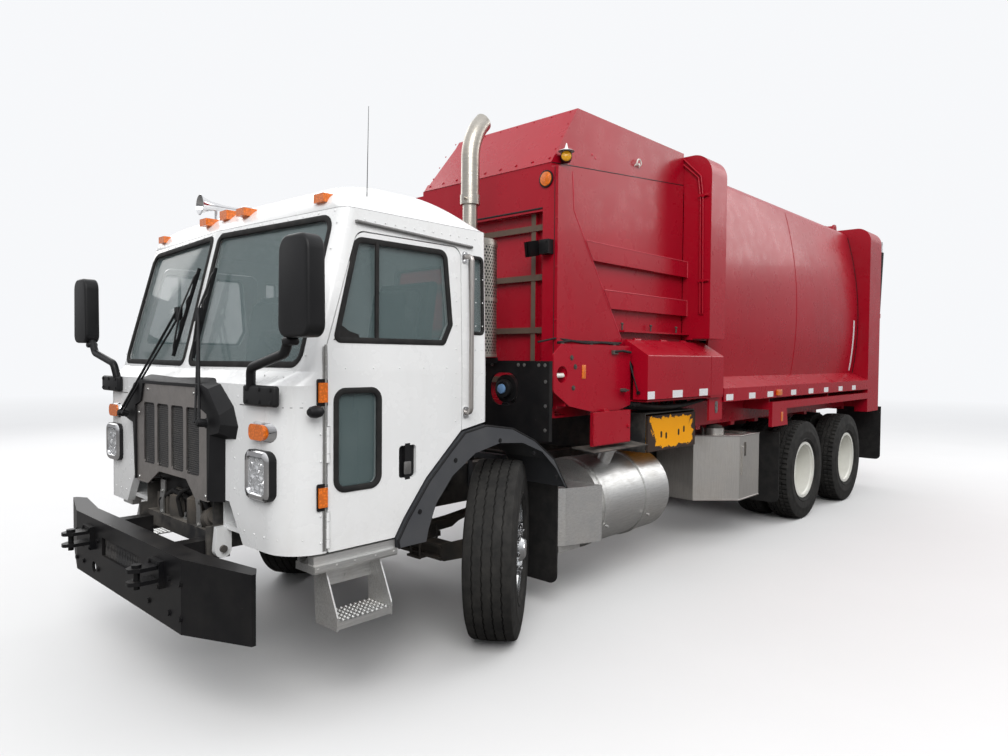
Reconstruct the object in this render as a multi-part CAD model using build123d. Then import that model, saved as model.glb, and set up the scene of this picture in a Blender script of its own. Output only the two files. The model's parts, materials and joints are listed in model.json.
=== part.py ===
from build123d import *
from math import cos, hypot, radians, sin
import os

# Side-loading garbage truck, all sizes in mm. The working frame has X forward, Y to the truck's
# left and Z up, with X = 0 at the front axle and Z = 0 at the ground. main() moves every node
# along X when it is written, so that the row's origin is the middle of its footprint.

# overall placing
STACK = (-120.0, 685.0)       # exhaust axis as (x, y)
HALF_WIDTH = 1215.0          # body flanges, half of a 96 inch body
AXLE_REAR = (-4682.0, -6054.0)

# tyres, rims and hubs
FRONT_TYRE_R, FRONT_TYRE_W, FRONT_TYRE_Y = 538.0, 300.0, 1030.0
FENDER_Y = 1170.0            # outer face of the front fenders
REAR_TYRE_R, REAR_TYRE_W = 525.0, 276.0
DUAL_Y = (1060.0, 717.0)
RIM_BEAD_R, RIM_FLANGE_R, RIM_BORE_R = 285.0, 298.5, 262.0
KINGPIN_Y, STEER_REST = 915.0, 36.0
STEER_ARM, STEER_ARM_Z = 160.0, 440.0

# chassis
RAIL_Y, RAIL_Z0, RAIL_Z1, RAIL_FLANGE, RAIL_T = 430.0, 700.0, 960.0, 88.0, 9.0
RAIL_X0, RAIL_X1 = -7340.0, 1440.0
CROSS_X = (-1250.0, -2550.0, -4100.0, -5368.0, -6650.0)
TOW_EYE_X, TOW_EYE_Y, TOW_EYE_Z, TOW_EYE_R, TOW_EYE_T = -7410.0, 350.0, 760.0, 25.0, 30.0

# cab
CAB_TILT = (1420.0, 720.0)
CAB_BACK = 180.0
CAB_WALL, DOOR_T, DOOR_GAP = 42.0, 42.0, 6.0
FLOOR_Z, FLOOR_T = 840.0, 24.0
DOOR_HINGE, DOOR_HINGE_Z = (1239.0, 1150.0), (895.0, 1290.0)
TUNNEL_Y, TUNNEL_Z = 455.0, 1440.0

# hopper and body
HOP_X0, HOP_X1, HOP_Y, HOP_FLOOR, HOP_WALL = -600.0, -2366.0, 960.0, 1292.0, 18.0
RING_FRONT = (-2373.0, -2650.0)
RING_REAR = (-6740.0, -7210.0)
RING_TOP, RING_LOW, SHELL_LOW = 3400.0, 1045.0, 1105.0
HOP_TOP, HOP_TOP_REAR, CANOPY_TOP = RING_TOP - 410.0, RING_TOP - 240.0, RING_TOP + 20.0
SHELL_T = 20.0

# valve cover: hinge line as (y, z), and its two ends along x
COVER_HINGE, COVER_X = (1040.0, 1840.0), (-1380.0, -2362.0)

# loading arm
BEAM_X, BEAM_HALF, BEAM_Z0, BEAM_Z1 = -1965.0, 250.0, 1025.0, 1215.0
ARM_PIVOT = (-1140.0, 1620.0)

# tailgate
GATE_HINGE = (-7095.0, RING_TOP + 100.0)
GATE_Y = 1060.0
RAM_FOOT, RAM_EAR, RAM_Y = (-7290.0, 2300.0), (-7420.0, 3270.0), 1150.0


def box(x0, x1, y0, y1, z0, z1):
    """Block between two corners."""
    return Pos((x0 + x1) / 2, (y0 + y1) / 2, (z0 + z1) / 2) * Box(abs(x1 - x0), abs(y1 - y0), abs(z1 - z0))


def place(axis, u, v, w):
    """Point from outline coordinates: u, v across the axis and w along it."""
    return {"x": Vector(w, u, v), "y": Vector(u, w, v), "z": Vector(u, v, w)}[axis]


def outline(axis, pts, w):
    """Closed wire through (u, v) points; a third number in a point is its corner radius."""
    stops, n = [], len(pts)
    for i, pt in enumerate(pts):
        u, v = pt[0], pt[1]
        if len(pt) < 3 or not pt[2]:
            stops.append([(u, v)])
            continue
        legs = []
        for q in (pts[i - 1], pts[(i + 1) % n]):
            du, dv = q[0] - u, q[1] - v
            length = hypot(du, dv)
            legs.append((du / length, dv / length))
        dot = max(-1.0, min(1.0, legs[0][0] * legs[1][0] + legs[0][1] * legs[1][1]))
        half = ((1 - dot) / 2) ** 0.5, ((1 + dot) / 2) ** 0.5
        reach = pt[2] * half[1] / half[0]
        bu, bv = legs[0][0] + legs[1][0], legs[0][1] + legs[1][1]
        size = hypot(bu, bv)
        mid = pt[2] / half[0] - pt[2]
        stops.append([(u + legs[0][0] * reach, v + legs[0][1] * reach),
                      (u + bu / size * mid, v + bv / size * mid),
                      (u + legs[1][0] * reach, v + legs[1][1] * reach)])
    edges = []
    for i, stop in enumerate(stops):
        if len(stop) == 3:
            edges.append(Edge.make_three_point_arc(*[place(axis, u, v, w) for u, v in stop]))
        a, b = stop[-1], stops[(i + 1) % n][0]
        if hypot(a[0] - b[0], a[1] - b[1]) > 1e-4:
            edges.append(Edge.make_line(place(axis, *a, w), place(axis, *b, w)))
    return Wire(edges)


def prism(axis, pts, w0, w1):
    """Solid with outline pts across the axis, from w0 to w1 along it."""
    lo, hi = min(w0, w1), max(w0, w1)
    run = place(axis, 0, 0, hi - lo)
    return Solid.extrude(Face(outline(axis, pts, lo)), run)


def rod(p, q, r):
    """Round bar between two points."""
    p, q = Vector(*p), Vector(*q)
    return Solid.make_cylinder(r, (q - p).length, Plane(origin=p, z_dir=q - p))


def tube(p, q, r, bore):
    return rod(p, q, r) - rod(p, q, bore)


def turned(profile, x=0.0, z=0.0):
    """Solid of revolution about a line along Y; profile is (radius, y) points."""
    face = Face(Wire([Edge.make_line(Vector(x + a[0], a[1], z), Vector(x + b[0], b[1], z))
                      for a, b in zip(profile, profile[1:] + profile[:1])]))
    return Solid.revolve(face, 360, Axis((x, 0, z), (0, 1, 0)))


def pipe(points, r, bend):
    """Round pipe along a path with rounded corners."""
    path = FilletPolyline(*[Vector(*p) for p in points], radius=bend) if len(points) > 2 else \
        Line(Vector(*points[0]), Vector(*points[1]))
    return sweep(Plane(origin=path @ 0, z_dir=path % 0) * Circle(r), path=path)


def flip(shape):
    """The same piece on the truck's other side."""
    return mirror(shape, about=Plane.XZ)


def both(shape):
    return Compound(children=solids_of(shape) + solids_of(flip(shape)))


def solids_of(shape):
    return list(shape.solids())


def group(*shapes):
    """Separate solids of one node."""
    out = []
    for s in shapes:
        out += solids_of(s)
    return Compound(children=out)


def fuse(*shapes):
    out = shapes[0]
    for s in shapes[1:]:
        out = out + s
    return out


def turn_z(shape, x, y, angle):
    return Pos(x, y, 0) * Rot(0, 0, angle) * Pos(-x, -y, 0) * shape


# wheels

def tyre(r, w, y, z):
    """Hollow tyre of revolution with rounded shoulders; its tread pattern is left to the scene."""
    h = w / 2
    b = RIM_BEAD_R + 0.4
    side = [(b, -h * 0.72), (RIM_FLANGE_R + 2, -h * 0.75), (RIM_FLANGE_R + 9, -h * 0.86), (r * 0.72, -h),
            (r * 0.87, -h * 0.98), (r - 14, -h * 0.89), (r, -h * 0.78)]
    half = [(b, h * 0.55), (r * 0.66, h * 0.84), (r * 0.86, h * 0.84), (r - 36, h * 0.70)]
    far = [(rr, -yy) for rr, yy in reversed(side)]
    inner = half + [(rr, -yy) for rr, yy in reversed(half)]
    return turned([(rr, y + yy) for rr, yy in side + far + inner], 0, z)


def front_rim(z):
    """Bright disc wheel: barrel, convex disc with ten hand holes and hub with the bearing bore."""
    y = FRONT_TYRE_Y
    f = 120.0
    barrel = turned([(RIM_BEAD_R, y - f + 8), (RIM_FLANGE_R, y - f + 4), (RIM_FLANGE_R, y - f - 4),
                     (270, y - f - 4), (270, y - f + 12), (RIM_BORE_R, y - f + 24), (RIM_BORE_R, y + f - 24),
                     (270, y + f - 12), (270, y + f + 4), (RIM_FLANGE_R, y + f + 4),
                     (RIM_FLANGE_R, y + f - 4), (RIM_BEAD_R, y + f - 8)], 0, z)
    disc = turned([(47, y + 118), (120, y + 112), (170, y + 96), (225, y + 50), (263, y + 30), (263, y + 6),
                   (222, y + 26), (165, y + 74), (118, y + 90), (47, y + 90)], 0, z)
    holes = [rod((210 * cos(a), y - 20, z + 210 * sin(a)), (210 * cos(a), y + 130, z + 210 * sin(a)), 27)
             for a in [radians(18 + 36 * k) for k in range(10)]]
    for hole in holes:
        disc = disc - hole
    hub = turned([(38, y - 8), (75, y - 8), (75, y + 92), (80, y + 92), (80, y + 132), (62, y + 160),
                  (0, y + 166), (0, y + 140), (38, y + 140)], 0, z)
    return fuse(barrel, disc, hub)


def rear_rims(z):
    """Deep dished steel pair: both barrels, their discs back to back, hub and drum."""
    parts = []
    f = 112.0
    for y in DUAL_Y:
        parts.append(turned([(RIM_BEAD_R, y - f + 8), (RIM_FLANGE_R, y - f + 4), (RIM_FLANGE_R, y - f - 4),
                             (270, y - f - 4), (270, y - f + 12), (RIM_BORE_R, y - f + 24),
                             (RIM_BORE_R, y + f - 24), (270, y + f - 12), (270, y + f + 4),
                             (RIM_FLANGE_R, y + f + 4), (RIM_FLANGE_R, y + f - 4), (RIM_BEAD_R, y + f - 8)],
                            0, z))
    mid = (DUAL_Y[0] + DUAL_Y[1]) / 2
    for s in (1, -1):
        disc = turned([(100, mid), (175, mid), (215, mid + s * 30), (252, mid + s * 74), (264, mid + s * 84),
                       (264, mid + s * 108), (248, mid + s * 92), (205, mid + s * 44), (170, mid + s * 12),
                       (100, mid + s * 12)], 0, z)
        for k in range(5):
            a = radians(36 + 72 * k)
            disc = disc - rod((215 * cos(a), mid - 60, z + 215 * sin(a)),
                              (215 * cos(a), mid + 60, z + 215 * sin(a)), 26)
        parts.append(disc)
    parts.append(turned([(66, 628), (205, 628), (205, 700), (190, 800), (120, mid - 12), (120, mid + 12),
                         (92, mid + 20), (88, 1030), (60, 1048), (0, 1050), (0, 1010), (66, 1010)], 0, z))
    return fuse(*parts)


# running gear

def knuckle(z):
    """Left steering knuckle in the straight-ahead position: lugs, web, spindle and arm."""
    y = KINGPIN_Y
    lugs = fuse(*[prism("z", [(-48, y - 46, 30), (48, y - 46, 30), (60, y + 92), (-60, y + 92)], z0, z1)
                  for z0, z1 in ((z + 74, z + 112), (z - 112, z - 74))])
    web = prism("y", [(-60, z - 112), (60, z - 112), (60, z + 112), (-60, z + 112)], y + 62, y + 94)
    pin = rod((0, y, z - 116), (0, y, z + 116), 24)
    spindle = fuse(rod((0, y + 90, z), (0, y + 100, z), 58), rod((0, y + 90, z), (0, FRONT_TYRE_Y + 120, z), 37.6))
    arm = prism("z", [(0, y - 30), (0, y + 44, 30), (-STEER_ARM, y + 30, 20), (-STEER_ARM - 30, y, 20),
                      (-STEER_ARM, y - 30, 20)], STEER_ARM_Z - 14, STEER_ARM_Z + 4)
    riser = box(-40, 40, y - 30, y + 60, STEER_ARM_Z - 14, z - 90)
    ball = rod((-STEER_ARM, y, STEER_ARM_Z - 62), (-STEER_ARM, y, STEER_ARM_Z - 10), 14)
    return fuse(lugs, web, pin, spindle, riser, arm, ball)


def front_axle(z):
    """Forged I-beam with kingpin bosses and a leaf spring pack each side."""
    beam = fuse(box(-55, 55, -620, 620, 400, 420), box(-14, 14, -620, 620, 400, 500), box(-55, 55, -620, 620, 482, 500))
    arm = prism("x", [(600, 400), (640, 400), (880, z - 60), (880, z + 60), (600, 500)], -45, 45)
    boss = tube((0, KINGPIN_Y, z - 72), (0, KINGPIN_Y, z + 72), 46, 24.6)
    arm = arm - rod((0, KINGPIN_Y, 300), (0, KINGPIN_Y, 700), 40)
    ends = fuse(arm, boss)
    pack = []
    for i, (length, drop) in enumerate(((760, 0), (640, 16), (500, 32), (350, 48))):
        pack.append(prism("y", [(-length, 652 - drop * 0.9), (-220, 592 - drop), (0, 580 - drop), (220, 592 - drop),
                                (length, 652 - drop * 0.9), (length, 664 - drop * 0.9), (220, 607 - drop),
                                (0, 595 - drop), (-220, 607 - drop), (-length, 664 - drop * 0.9)], 350, 430))
    seat = box(-110, 110, 345, 435, 500, 534)
    bolts = [rod((x, y, 380), (x, y, 612), 9) for x in (-72, 72) for y in (344, 436)]
    plate = box(-95, 95, 330, 450, 386, 400)
    cap = box(-95, 95, 330, 450, 594, 610)
    eyes = [tube((s * 770, 350, 668), (s * 770, 430, 668), 26, 12) for s in (1, -1)]
    hanger = [prism("y", [(s * 770 - 34, 700), (s * 770 + 34, 700), (s * 770 + 22, 650, 16), (s * 770 - 22, 650, 16)],
                    432, 446) for s in (1, -1)]
    hanger += [rod((s * 770, 340, 668), (s * 770, 446, 668), 12) for s in (1, -1)]
    side = fuse(seat, plate, cap, *pack, *bolts, *eyes, *hanger)
    return fuse(beam, ends, flip(ends), side, flip(side))


def rear_axle(x, z):
    """Drive axle: banjo bowl, housing tubes, spindles and brake chambers."""
    bowl = Pos(x, 0, z) * Sphere(200)
    bowl = bowl & box(x - 190, x + 190, -170, 170, z - 190, z + 190)
    nose = rod((x, 0, z), (x + 250, 0, z + 40), 80)
    housing = rod((x, -615, z), (x, 615, z), 68)
    spindle = rod((x, -1000, z), (x, 1000, z), 56)
    cans = [rod((x + 110, s * 500, z + 60), (x + 260, s * 500, z + 90), 74) for s in (1, -1)]
    mounts = [box(x + 40, x + 130, s * 470, s * 530, z + 20, z + 100) for s in (1, -1)]
    return fuse(bowl, nose, housing, spindle, *cans, *mounts)


def rear_suspension(z):
    """Walking beams under both drive axles, with their saddles on the rails."""
    mid = sum(AXLE_REAR) / 2
    beam = prism("y", [(AXLE_REAR[0] + 90, z - 160, 30), (AXLE_REAR[0] + 90, z - 72), (mid + 120, z - 50),
                       (mid - 120, z - 50), (AXLE_REAR[1] - 90, z - 72), (AXLE_REAR[1] - 90, z - 160, 30),
                       (mid, z - 210)], 480, 560)
    saddle = prism("y", [(mid - 190, 735), (mid + 190, 735), (mid + 190, 690), (mid + 90, z - 60),
                         (mid - 90, z - 60), (mid - 190, 690)], 432, 560)
    spring = [box(x - 70, x + 70, 440, 560, 640, 735) for x in (mid - 260, mid + 260)]
    top = box(mid - 340, mid + 340, 432, 560, 735, 755)
    side = fuse(beam, saddle, top, *spring)
    return both(side)


def frame_rails():
    """Channel rails, each with its cab pivot bracket."""
    y, t, f = RAIL_Y, RAIL_T, RAIL_FLANGE
    rail = prism("x", [(y, RAIL_Z0), (y, RAIL_Z1), (y - f, RAIL_Z1), (y - f, RAIL_Z1 - t), (y - t, RAIL_Z1 - t),
                       (y - t, RAIL_Z0 + t), (y - f, RAIL_Z0 + t), (y - f, RAIL_Z0)], RAIL_X0, RAIL_X1)
    px, pz = CAB_TILT
    bracket = fuse(box(px - 60, px + 60, y - 3, y + 14, pz - 60, pz + 110),
                   rod((px, y, pz), (px, y + 78, pz), 18))
    return both(fuse(rail, bracket))


def crossmembers():
    """Channel crossmembers between the rails, the front beam and the rear beam with its tow lugs."""
    inner, low, high = RAIL_Y - RAIL_T, RAIL_Z0 + RAIL_T, RAIL_Z1 - RAIL_T
    web = 8
    cross = [box(x - 35, x + 35, -inner, inner, low + 30, high - 30)
             - box(x - 35 + web, x + 36, -inner - 1, inner + 1, low + 30 + web, high - 30 - web)
             for x in CROSS_X]
    front = box(RAIL_X1 - 90, RAIL_X1, -inner, inner, low, low + 80)
    plate = box(RAIL_X0 - 16, RAIL_X0, -RAIL_Y, RAIL_Y, RAIL_Z0 - 30, RAIL_Z1)
    x, y, z, r = TOW_EYE_X, TOW_EYE_Y, TOW_EYE_Z, TOW_EYE_R
    lug = prism("y", [(x - 60, z - 60, 45), (RAIL_X0 - 2, z - 60), (RAIL_X0 - 2, z + 60), (x - 60, z + 60, 45)],
                y - TOW_EYE_T / 2, y + TOW_EYE_T / 2)
    lug = lug - rod((x, y - 40, z), (x, y + 40, z), r)
    return group(*cross, front, fuse(plate, lug, flip(lug)))


def tie_rod(z):
    """Straight bar between the knuckle arms, modelled at the rest steering angle."""
    a = radians(STEER_REST)
    dx, dy = -STEER_ARM * cos(a), -STEER_ARM * sin(a)
    zc = STEER_ARM_Z - 40
    ends = [tube((dx, s * KINGPIN_Y + dy, zc - 16), (dx, s * KINGPIN_Y + dy, zc + 16), 30, 14.4) for s in (1, -1)]
    bar = rod((dx, KINGPIN_Y + dy - 24, zc), (dx, -KINGPIN_Y + dy + 24, zc), 17)
    return fuse(bar, *ends)


def engine():
    """Plain engine block on side mounts, with a gearbox behind."""
    block = box(-60, 900, -250, 250, 640, 1200)
    sump = box(60, 820, -180, 180, 560, 650)
    gearbox = prism("y", [(-60, 680), (-60, 1120), (-340, 1000), (-700, 940), (-700, 700)], -200, 200)
    mounts = box(300, 420, -345, 345, 770, 830)
    return fuse(block, sump, gearbox, mounts)


def radiator():
    """Radiator pack: core, lower tank and the feet on the front crossmember."""
    core = box(1300, 1378, -400, 400, 975, 1430)
    tank = box(1300, 1378, -335, 335, 792, 975)
    return fuse(core, tank)


def bumper():
    """Plate bumper with swept wings, top flange, grille insert and frame horns."""
    outer = [(1600, 1170), (1620, 1170), (1728, 727), (1728, -727), (1620, -1170), (1600, -1170), (1712, -727),
             (1712, 727)]
    face = prism("z", outer, 430, 775)
    trim = prism("x", [(-1400, 300), (1400, 300), (1400, 470), (1180, 470), (727, 430), (-727, 430), (-1180, 470),
                       (-1400, 470)], 1500, 1800)
    face = face - trim
    flange = prism("z", [(1600, 1170), (1640, 1090), (1720, 727), (1720, -727), (1640, -1090), (1600, -1170),
                         (1560, -1100), (1620, -700), (1620, 700), (1560, 1100)], 765, 775)
    inset = box(1700, 1740, -300, 250, 590, 690)
    face = face - inset
    hole = rod((1600, -430, 500), (1800, -430, 500), 32)
    horns = [box(RAIL_X1, 1716, s * 340, s * 424, 600, 760) for s in (1, -1)]
    return fuse(face - hole, flange, box(1702, 1710, -320, 270, 575, 705), *horns)


def tow_hooks():
    """Pair of level plates on each side of the bumper with an upright pin through their noses."""
    out = []
    for s in (1, -1):
        y = s * 480
        nose = [(1726, y - 45), (1830, y - 45), (1872, y - 20, 20), (1872, y + 20, 20), (1830, y + 45), (1726, y + 45)]
        plates = [prism("z", nose, z, z + 18) for z in (628, 690)]
        block = box(1726, 1752, y - 60, y + 60, 600, 728)
        pin = fuse(rod((1828, y, 605), (1828, y, 722), 14), rod((1828, y, 708), (1828, y, 722), 22))
        out.append(fuse(block, *plates, pin))
    return group(*out) - bumper()


def fuel_tank():
    """Round tank in its straps, with the battery box and its tread plate at the front."""
    y, z, r = 800.0, 650.0, 322.0
    shell = rod((-975, y, z), (-1915, y, z), r)
    cap = rod((-1290, y + 120, z + 280), (-1290, y + 170, z + 385), 52)
    straps = [tube((x, y, z), (x - 60, y, z), r + 5, r - 1) for x in (-1020, -1560)]
    brackets = [prism("y", [(x, 720), (x - 60, 720), (x - 60, 400, 20), (x, 400, 20)], RAIL_Y + 1, RAIL_Y + 60)
                for x in (-1020, -1560)]
    battery = prism("z", [(-655, 700), (-655, 1000), (-700, 1030), (-985, 1128), (-985, 700)], 430, 820)
    tread = box(-660, -900, 750, 1005, 380, 431)
    return fuse(shell, cap, *straps, *brackets, battery, tread)


def hydraulic_tank():
    plan = [(-2823, 470), (-2823, 850), (-3127, 1150), (-3555, 1150), (-3555, 470)]
    tank = prism("z", plan, 410, 1000)
    caps = [rod((-2930, 700, 995), (-2930, 700, 1075), 58), rod((-3120, 900, 995), (-3120, 900, 1060), 90)]
    gauge = box(-3200, -3170, 1145, 1162, 640, 900)
    return fuse(tank, *caps, gauge, *[box(x, x - 60, RAIL_Y + 1, 480, 720, 900) for x in (-2900, -3400)])


def front_fenders():
    """Black arches over the steered wheels, with a side lip."""
    # columns: share of the tyre's radius and millimetres beyond it, for x and then for z
    outer = ((1, 291, 1, 199), (1, 298, 1, 240), (1, 240, 1, 332), (0.7, 255.4, 1.7, 140.4),
             (0.7, 100.4, 1.7, 283.4), (0, 374, 2, 212), (0, 209, 2, 240), (0, -10, 2, 208),
             (-0.5, 58, 1.8, 228.6), (-0.5, -131, 1.8, 96.6), (-0.9, -50.8, 1.2, 222.4))
    edge = ((-0.9, -35.8, 1.2, 222.4), (-0.5, -151, 1.8, 31.6), (-0.5, -11, 1.8, 151.6), (0, -100, 2, 114),
            (0, 100, 2, 129), (0, 300, 2, 89), (0.7, 93.4, 1.7, 145.4), (0.7, 208.4, 1.7, 15.4),
            (1, 102, 1, 262), (1, 117, 1, 199))
    under = ((1, 282, 1, 199), (1, 288, 1, 238), (1, 232, 1, 327), (0.7, 248.4, 1.7, 133.4),
             (0.7, 94.4, 1.7, 275.4), (0, 371, 2, 203), (0, 208, 2, 231), (0, -8, 2, 199),
             (-0.5, 63, 1.8, 220.6), (-0.5, -124, 1.8, 90.6), (-0.9, -41.8, 1.2, 222.4))
    r = FRONT_TYRE_R
    out, lip, inner = ([(a * r + x, b * r + z) for a, x, b, z in rows] for rows in (outer, edge, under))
    side = prism("y", out + lip, FENDER_Y - 10, FENDER_Y)
    skin = prism("y", out + inner[::-1], FENDER_Y - 410, FENDER_Y - 5)
    rear, front = (-0.5 * r - 131, 1.8 * r + 41.6), (r + 162, r + 342)
    y0, y1 = RAIL_Y + 2, FENDER_Y - 405
    stays = [box(x, x + 40, y0, y1, z, z + 40) for x, z in (rear, front)]
    drops = [box(x, x + 40, y0, RAIL_Y + 12, 800, z) for x, z in (rear, front)]
    return both(fuse(side, skin, *stays, *drops))


def mudflaps():
    """Rubber flaps behind the steered wheels and around the drive wheels."""
    flaps = [prism("x", [(700, 940), (1015, 940), (1015, 180, 60), (700, 180, 60)], -640, -628),
             prism("x", [(720, 980), (1190, 980), (1190, 270, 60), (720, 270, 60)], -3956, -3944),
             prism("x", [(620, 1080), (1190, 1080), (1190, 360, 60), (620, 360, 60)], -7456, -7444)]
    hangers = [box(-652, -640, RAIL_Y + 1, 1010, 895, 940), box(-3968, -3956, RAIL_Y + 1, 1180, 935, 975),
               box(-7444, -7432, 380, 1180, 1035, 1075)]
    return both(group(*[fuse(f, h) for f, h in zip(flaps, hangers)]))


# hopper and body

def cab_back_panel():
    """Black panel behind the cab with the air cleaner's intake and the shelf under the muffler."""
    panel = prism("x", [(440, 1000), (540, 1000), (540, 1180), (1205, 1180), (1205, 1678), (440, 1678)], -312, -300)
    panel = panel - prism("x", [(700, 1390, 90), (950, 1390, 90), (950, 1600, 90), (700, 1600, 90)], -330, -280)
    lip = box(-330, -300, 1193, 1205, 1180, 1678)
    cleaner = fuse(rod((-560, 825, 1495), (-318, 825, 1495), 92), rod((-320, 825, 1495), (-290, 825, 1495), 60))
    saddle = box(-400, -310, 800, 850, 1300, 1405)
    foot = box(-312, -270, 350, 450, RAIL_Z1, 1030)
    shelf = box(-301, -60, 600, 770, 1660, 1698)
    return fuse(panel, lip, cleaner, saddle, foot, shelf)


def exhaust():
    """Muffler in its round guard, and the upright stack with a tip turned to the rear."""
    x, y = STACK
    guard = tube((x, y, 1700), (x, y, 2440), 175, 169)
    ends = [rod((x, y, z), (x, y, z + 8), 175) for z in (1700, 2432)]
    can = rod((x, y, 1704), (x, y, 2436), 120)
    low = rod((x, y, 2436), (x, y, 2710), 47)
    clamp = rod((x, y, 2670), (x, y, 2730), 64)
    stack = pipe([(x, y, 2700), (x, y, 3150), (x - 200, y, 3180)], 59, 150)
    stack = stack - rod((x - 170, y, 3175.5), (x - 230, y, 3184.5), 54)
    return fuse(guard, *ends, can, low, clamp, stack)


def hopper():
    """Open charging hopper: posts, header, walls, ribs, sloped chute and floor."""
    x0, x1, y, t = HOP_X0, HOP_X1, HOP_Y, HOP_WALL
    left = prism("y", [(x0, 1360), (x0, HOP_TOP), (x1, HOP_TOP_REAR), (x1, 1300), (x0 - 200, 1300)], y - t, y)
    gusset = prism("y", [(x0, 1360), (x0, HOP_TOP - 30), (x0 - 180, HOP_TOP - 30), (x0 - 200, 2700), (x0 - 790, 1850),
                         (x0 - 790, 1360)], y, y + 40)
    ribs = [prism("y", [(a, z), (b, z + 130), (x1 - 4, z + 130), (x1 - 4, z)], y, y + 48)
            for a, b, z in ((x0 - 418, x0 - 328, 2385), (x0 - 644, x0 - 554, 2060))]
    flange = prism("y", [(x0 - 790, 1896), (x1 - 4, 1900), (x1 - 4, 1912), (x0 - 790, 1908)], y, y + 70)
    floor = box(x0, x1, -y + 200, y, HOP_FLOOR, HOP_FLOOR + 16)
    posts = [box(x0 - 90, x0, y - 70, y + 60, 1360, HOP_TOP - 30), box(x0 - 90, x0, -y, -y + 90, 1300, HOP_TOP - 30)]
    header = box(x0 - 60, x0, -y, y, HOP_TOP - 310, HOP_TOP - 30)
    sill = box(x0 - 60, x0, -y, y, 1300, 1400)
    right_low = prism("x", [(-y, 2150), (-y + t, 2150), (-750 + t, 1750), (-750 + t, HOP_FLOOR), (-750, HOP_FLOOR),
                            (-750, 1750)], x0, x1)
    right_top = [box(x0 - 160, x0, -y, -y + t, 2150, HOP_TOP - 30), box(x1, x1 + 320, -y, -y + t, 2150, HOP_TOP_REAR)]
    cap = box(x0, x1, -y, -y + 60, 2140, 2160)
    return fuse(left, gusset, *ribs, flange, floor, *posts, header, sill, right_low, *right_top, cap)


def hopper_front():
    """Recessed front wall between the posts, with its dark cross members."""
    x0 = HOP_X0
    side = HOP_Y - 70
    plate = box(x0 - 80, x0 - 70, -HOP_Y + 90, side, 1390, 2690)
    bars = [box(x0 - 70, x0 - 35, -HOP_Y + 90, side, z, z + 40) for z in (1520, 1865, 2224, 2560)]
    stile = box(x0 - 70, x0 - 40, 760, 800, 1400, 2690)
    return fuse(plate, *bars, stile) - hopper()


def canopy():
    """Sheet cover over the hopper's left half, sloped at the front."""
    x0, x1, t = HOP_X0, HOP_X1, 8.0
    side = [(x0, HOP_TOP + 2), (x0 - 283, CANOPY_TOP), (x1, CANOPY_TOP + 8), (x1, HOP_TOP_REAR + 2)]
    skin = [(x0, HOP_TOP + 2), (x0 - 283, CANOPY_TOP), (x1, CANOPY_TOP + 8), (x1, CANOPY_TOP - t + 8),
            (x0 - 283 - 4, CANOPY_TOP - t), (x0 - 9, HOP_TOP + 2)]
    cheek = prism("y", side, HOP_Y - t, HOP_Y)
    roof = prism("y", skin, -320, HOP_Y)
    roof = roof - prism("x", [(-400, 2900), (-340, 2900), (-225, 3364), (-225, 3600), (-400, 3600)], x1 - 10, x0 + 10)
    foot = box(x0 - 58, x0 - 2, -335, HOP_Y - HOP_WALL - 1, HOP_TOP - 30, HOP_TOP + 4)
    rear = box(x1, x1 + 8, -225, HOP_Y, 3165, CANOPY_TOP)
    return fuse(cheek, roof, foot, rear)


def packer_panel():
    """Pusher plate that slides along the hopper floor."""
    x = HOP_X0 - 100
    face = box(x - 50, x, -720, 900, HOP_FLOOR + 26, 1980)
    top = prism("y", [(x, 1980), (x, 2040), (x - 40, 2040), (x - 110, 1980), (x - 110, 1940), (x, 1940)], -720, 900)
    return fuse(face, top)


def low_front():
    """Low red side structure ahead of the valve cover, with the small service door's frame."""
    plate = prism("y", [(-470, 1480, 30), (-470, 1720, 20), (-560, 1790), (-1370, 1790), (-1370, 1360), (-1230, 1330),
                        (-900, 1330), (-640, 1380)], 1088, 1100)
    plate = plate - rod((-560, 1050, 1590), (-560, 1150, 1590), 55)
    shelf = box(-600, -1370, 1001, 1090, 1778, 1790)
    web = box(-612, -600, 1001, 1090, 1380, 1780)
    door = box(-836, -1297, 1128, 1150, 1100, 1330)
    stay = box(-1000, -1060, 1060, 1128, 1280, 1345)
    return fuse(plate, shelf, web, door, stay) - hopper()


def shell_face(x, inset=0.0):
    """Closed wire of the barrel-sided section at x."""
    i = inset
    low, top = HALF_WIDTH - 285 - i, RING_TOP - 30
    p = [Vector(x, low, SHELL_LOW + i), Vector(x, low, 1420), Vector(x, low + 85, 1480),
         Vector(x, low + 151, 2220), Vector(x, low, top - 66), Vector(x, low - 40, top - 20 - i),
         Vector(x, low - 140, top - i)]
    edges = [Edge.make_line(p[0], p[1]), Edge.make_line(p[1], p[2]), Edge.make_three_point_arc(p[2], p[3], p[4]),
             Edge.make_three_point_arc(p[4], p[5], p[6])]
    q = [Vector(v.X, -v.Y, v.Z) for v in p]
    edges += [Edge.make_line(p[6], q[6]), Edge.make_three_point_arc(q[6], q[5], q[4]),
              Edge.make_three_point_arc(q[4], q[3], q[2]), Edge.make_line(q[2], q[1]), Edge.make_line(q[1], q[0]),
              Edge.make_line(q[0], p[0])]
    return Face(Wire(edges))


def body_shell():
    """Barrel-sided compactor body between its two flange rings."""
    x0, x1 = RING_FRONT[1], RING_REAR[0]
    outer = Solid.extrude(shell_face(x1), Vector(x0 - x1, 0, 0))
    inner = Solid.extrude(shell_face(x1 - 10, SHELL_T), Vector(x0 - x1 + 20, 0, 0))
    return outer - inner


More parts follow.
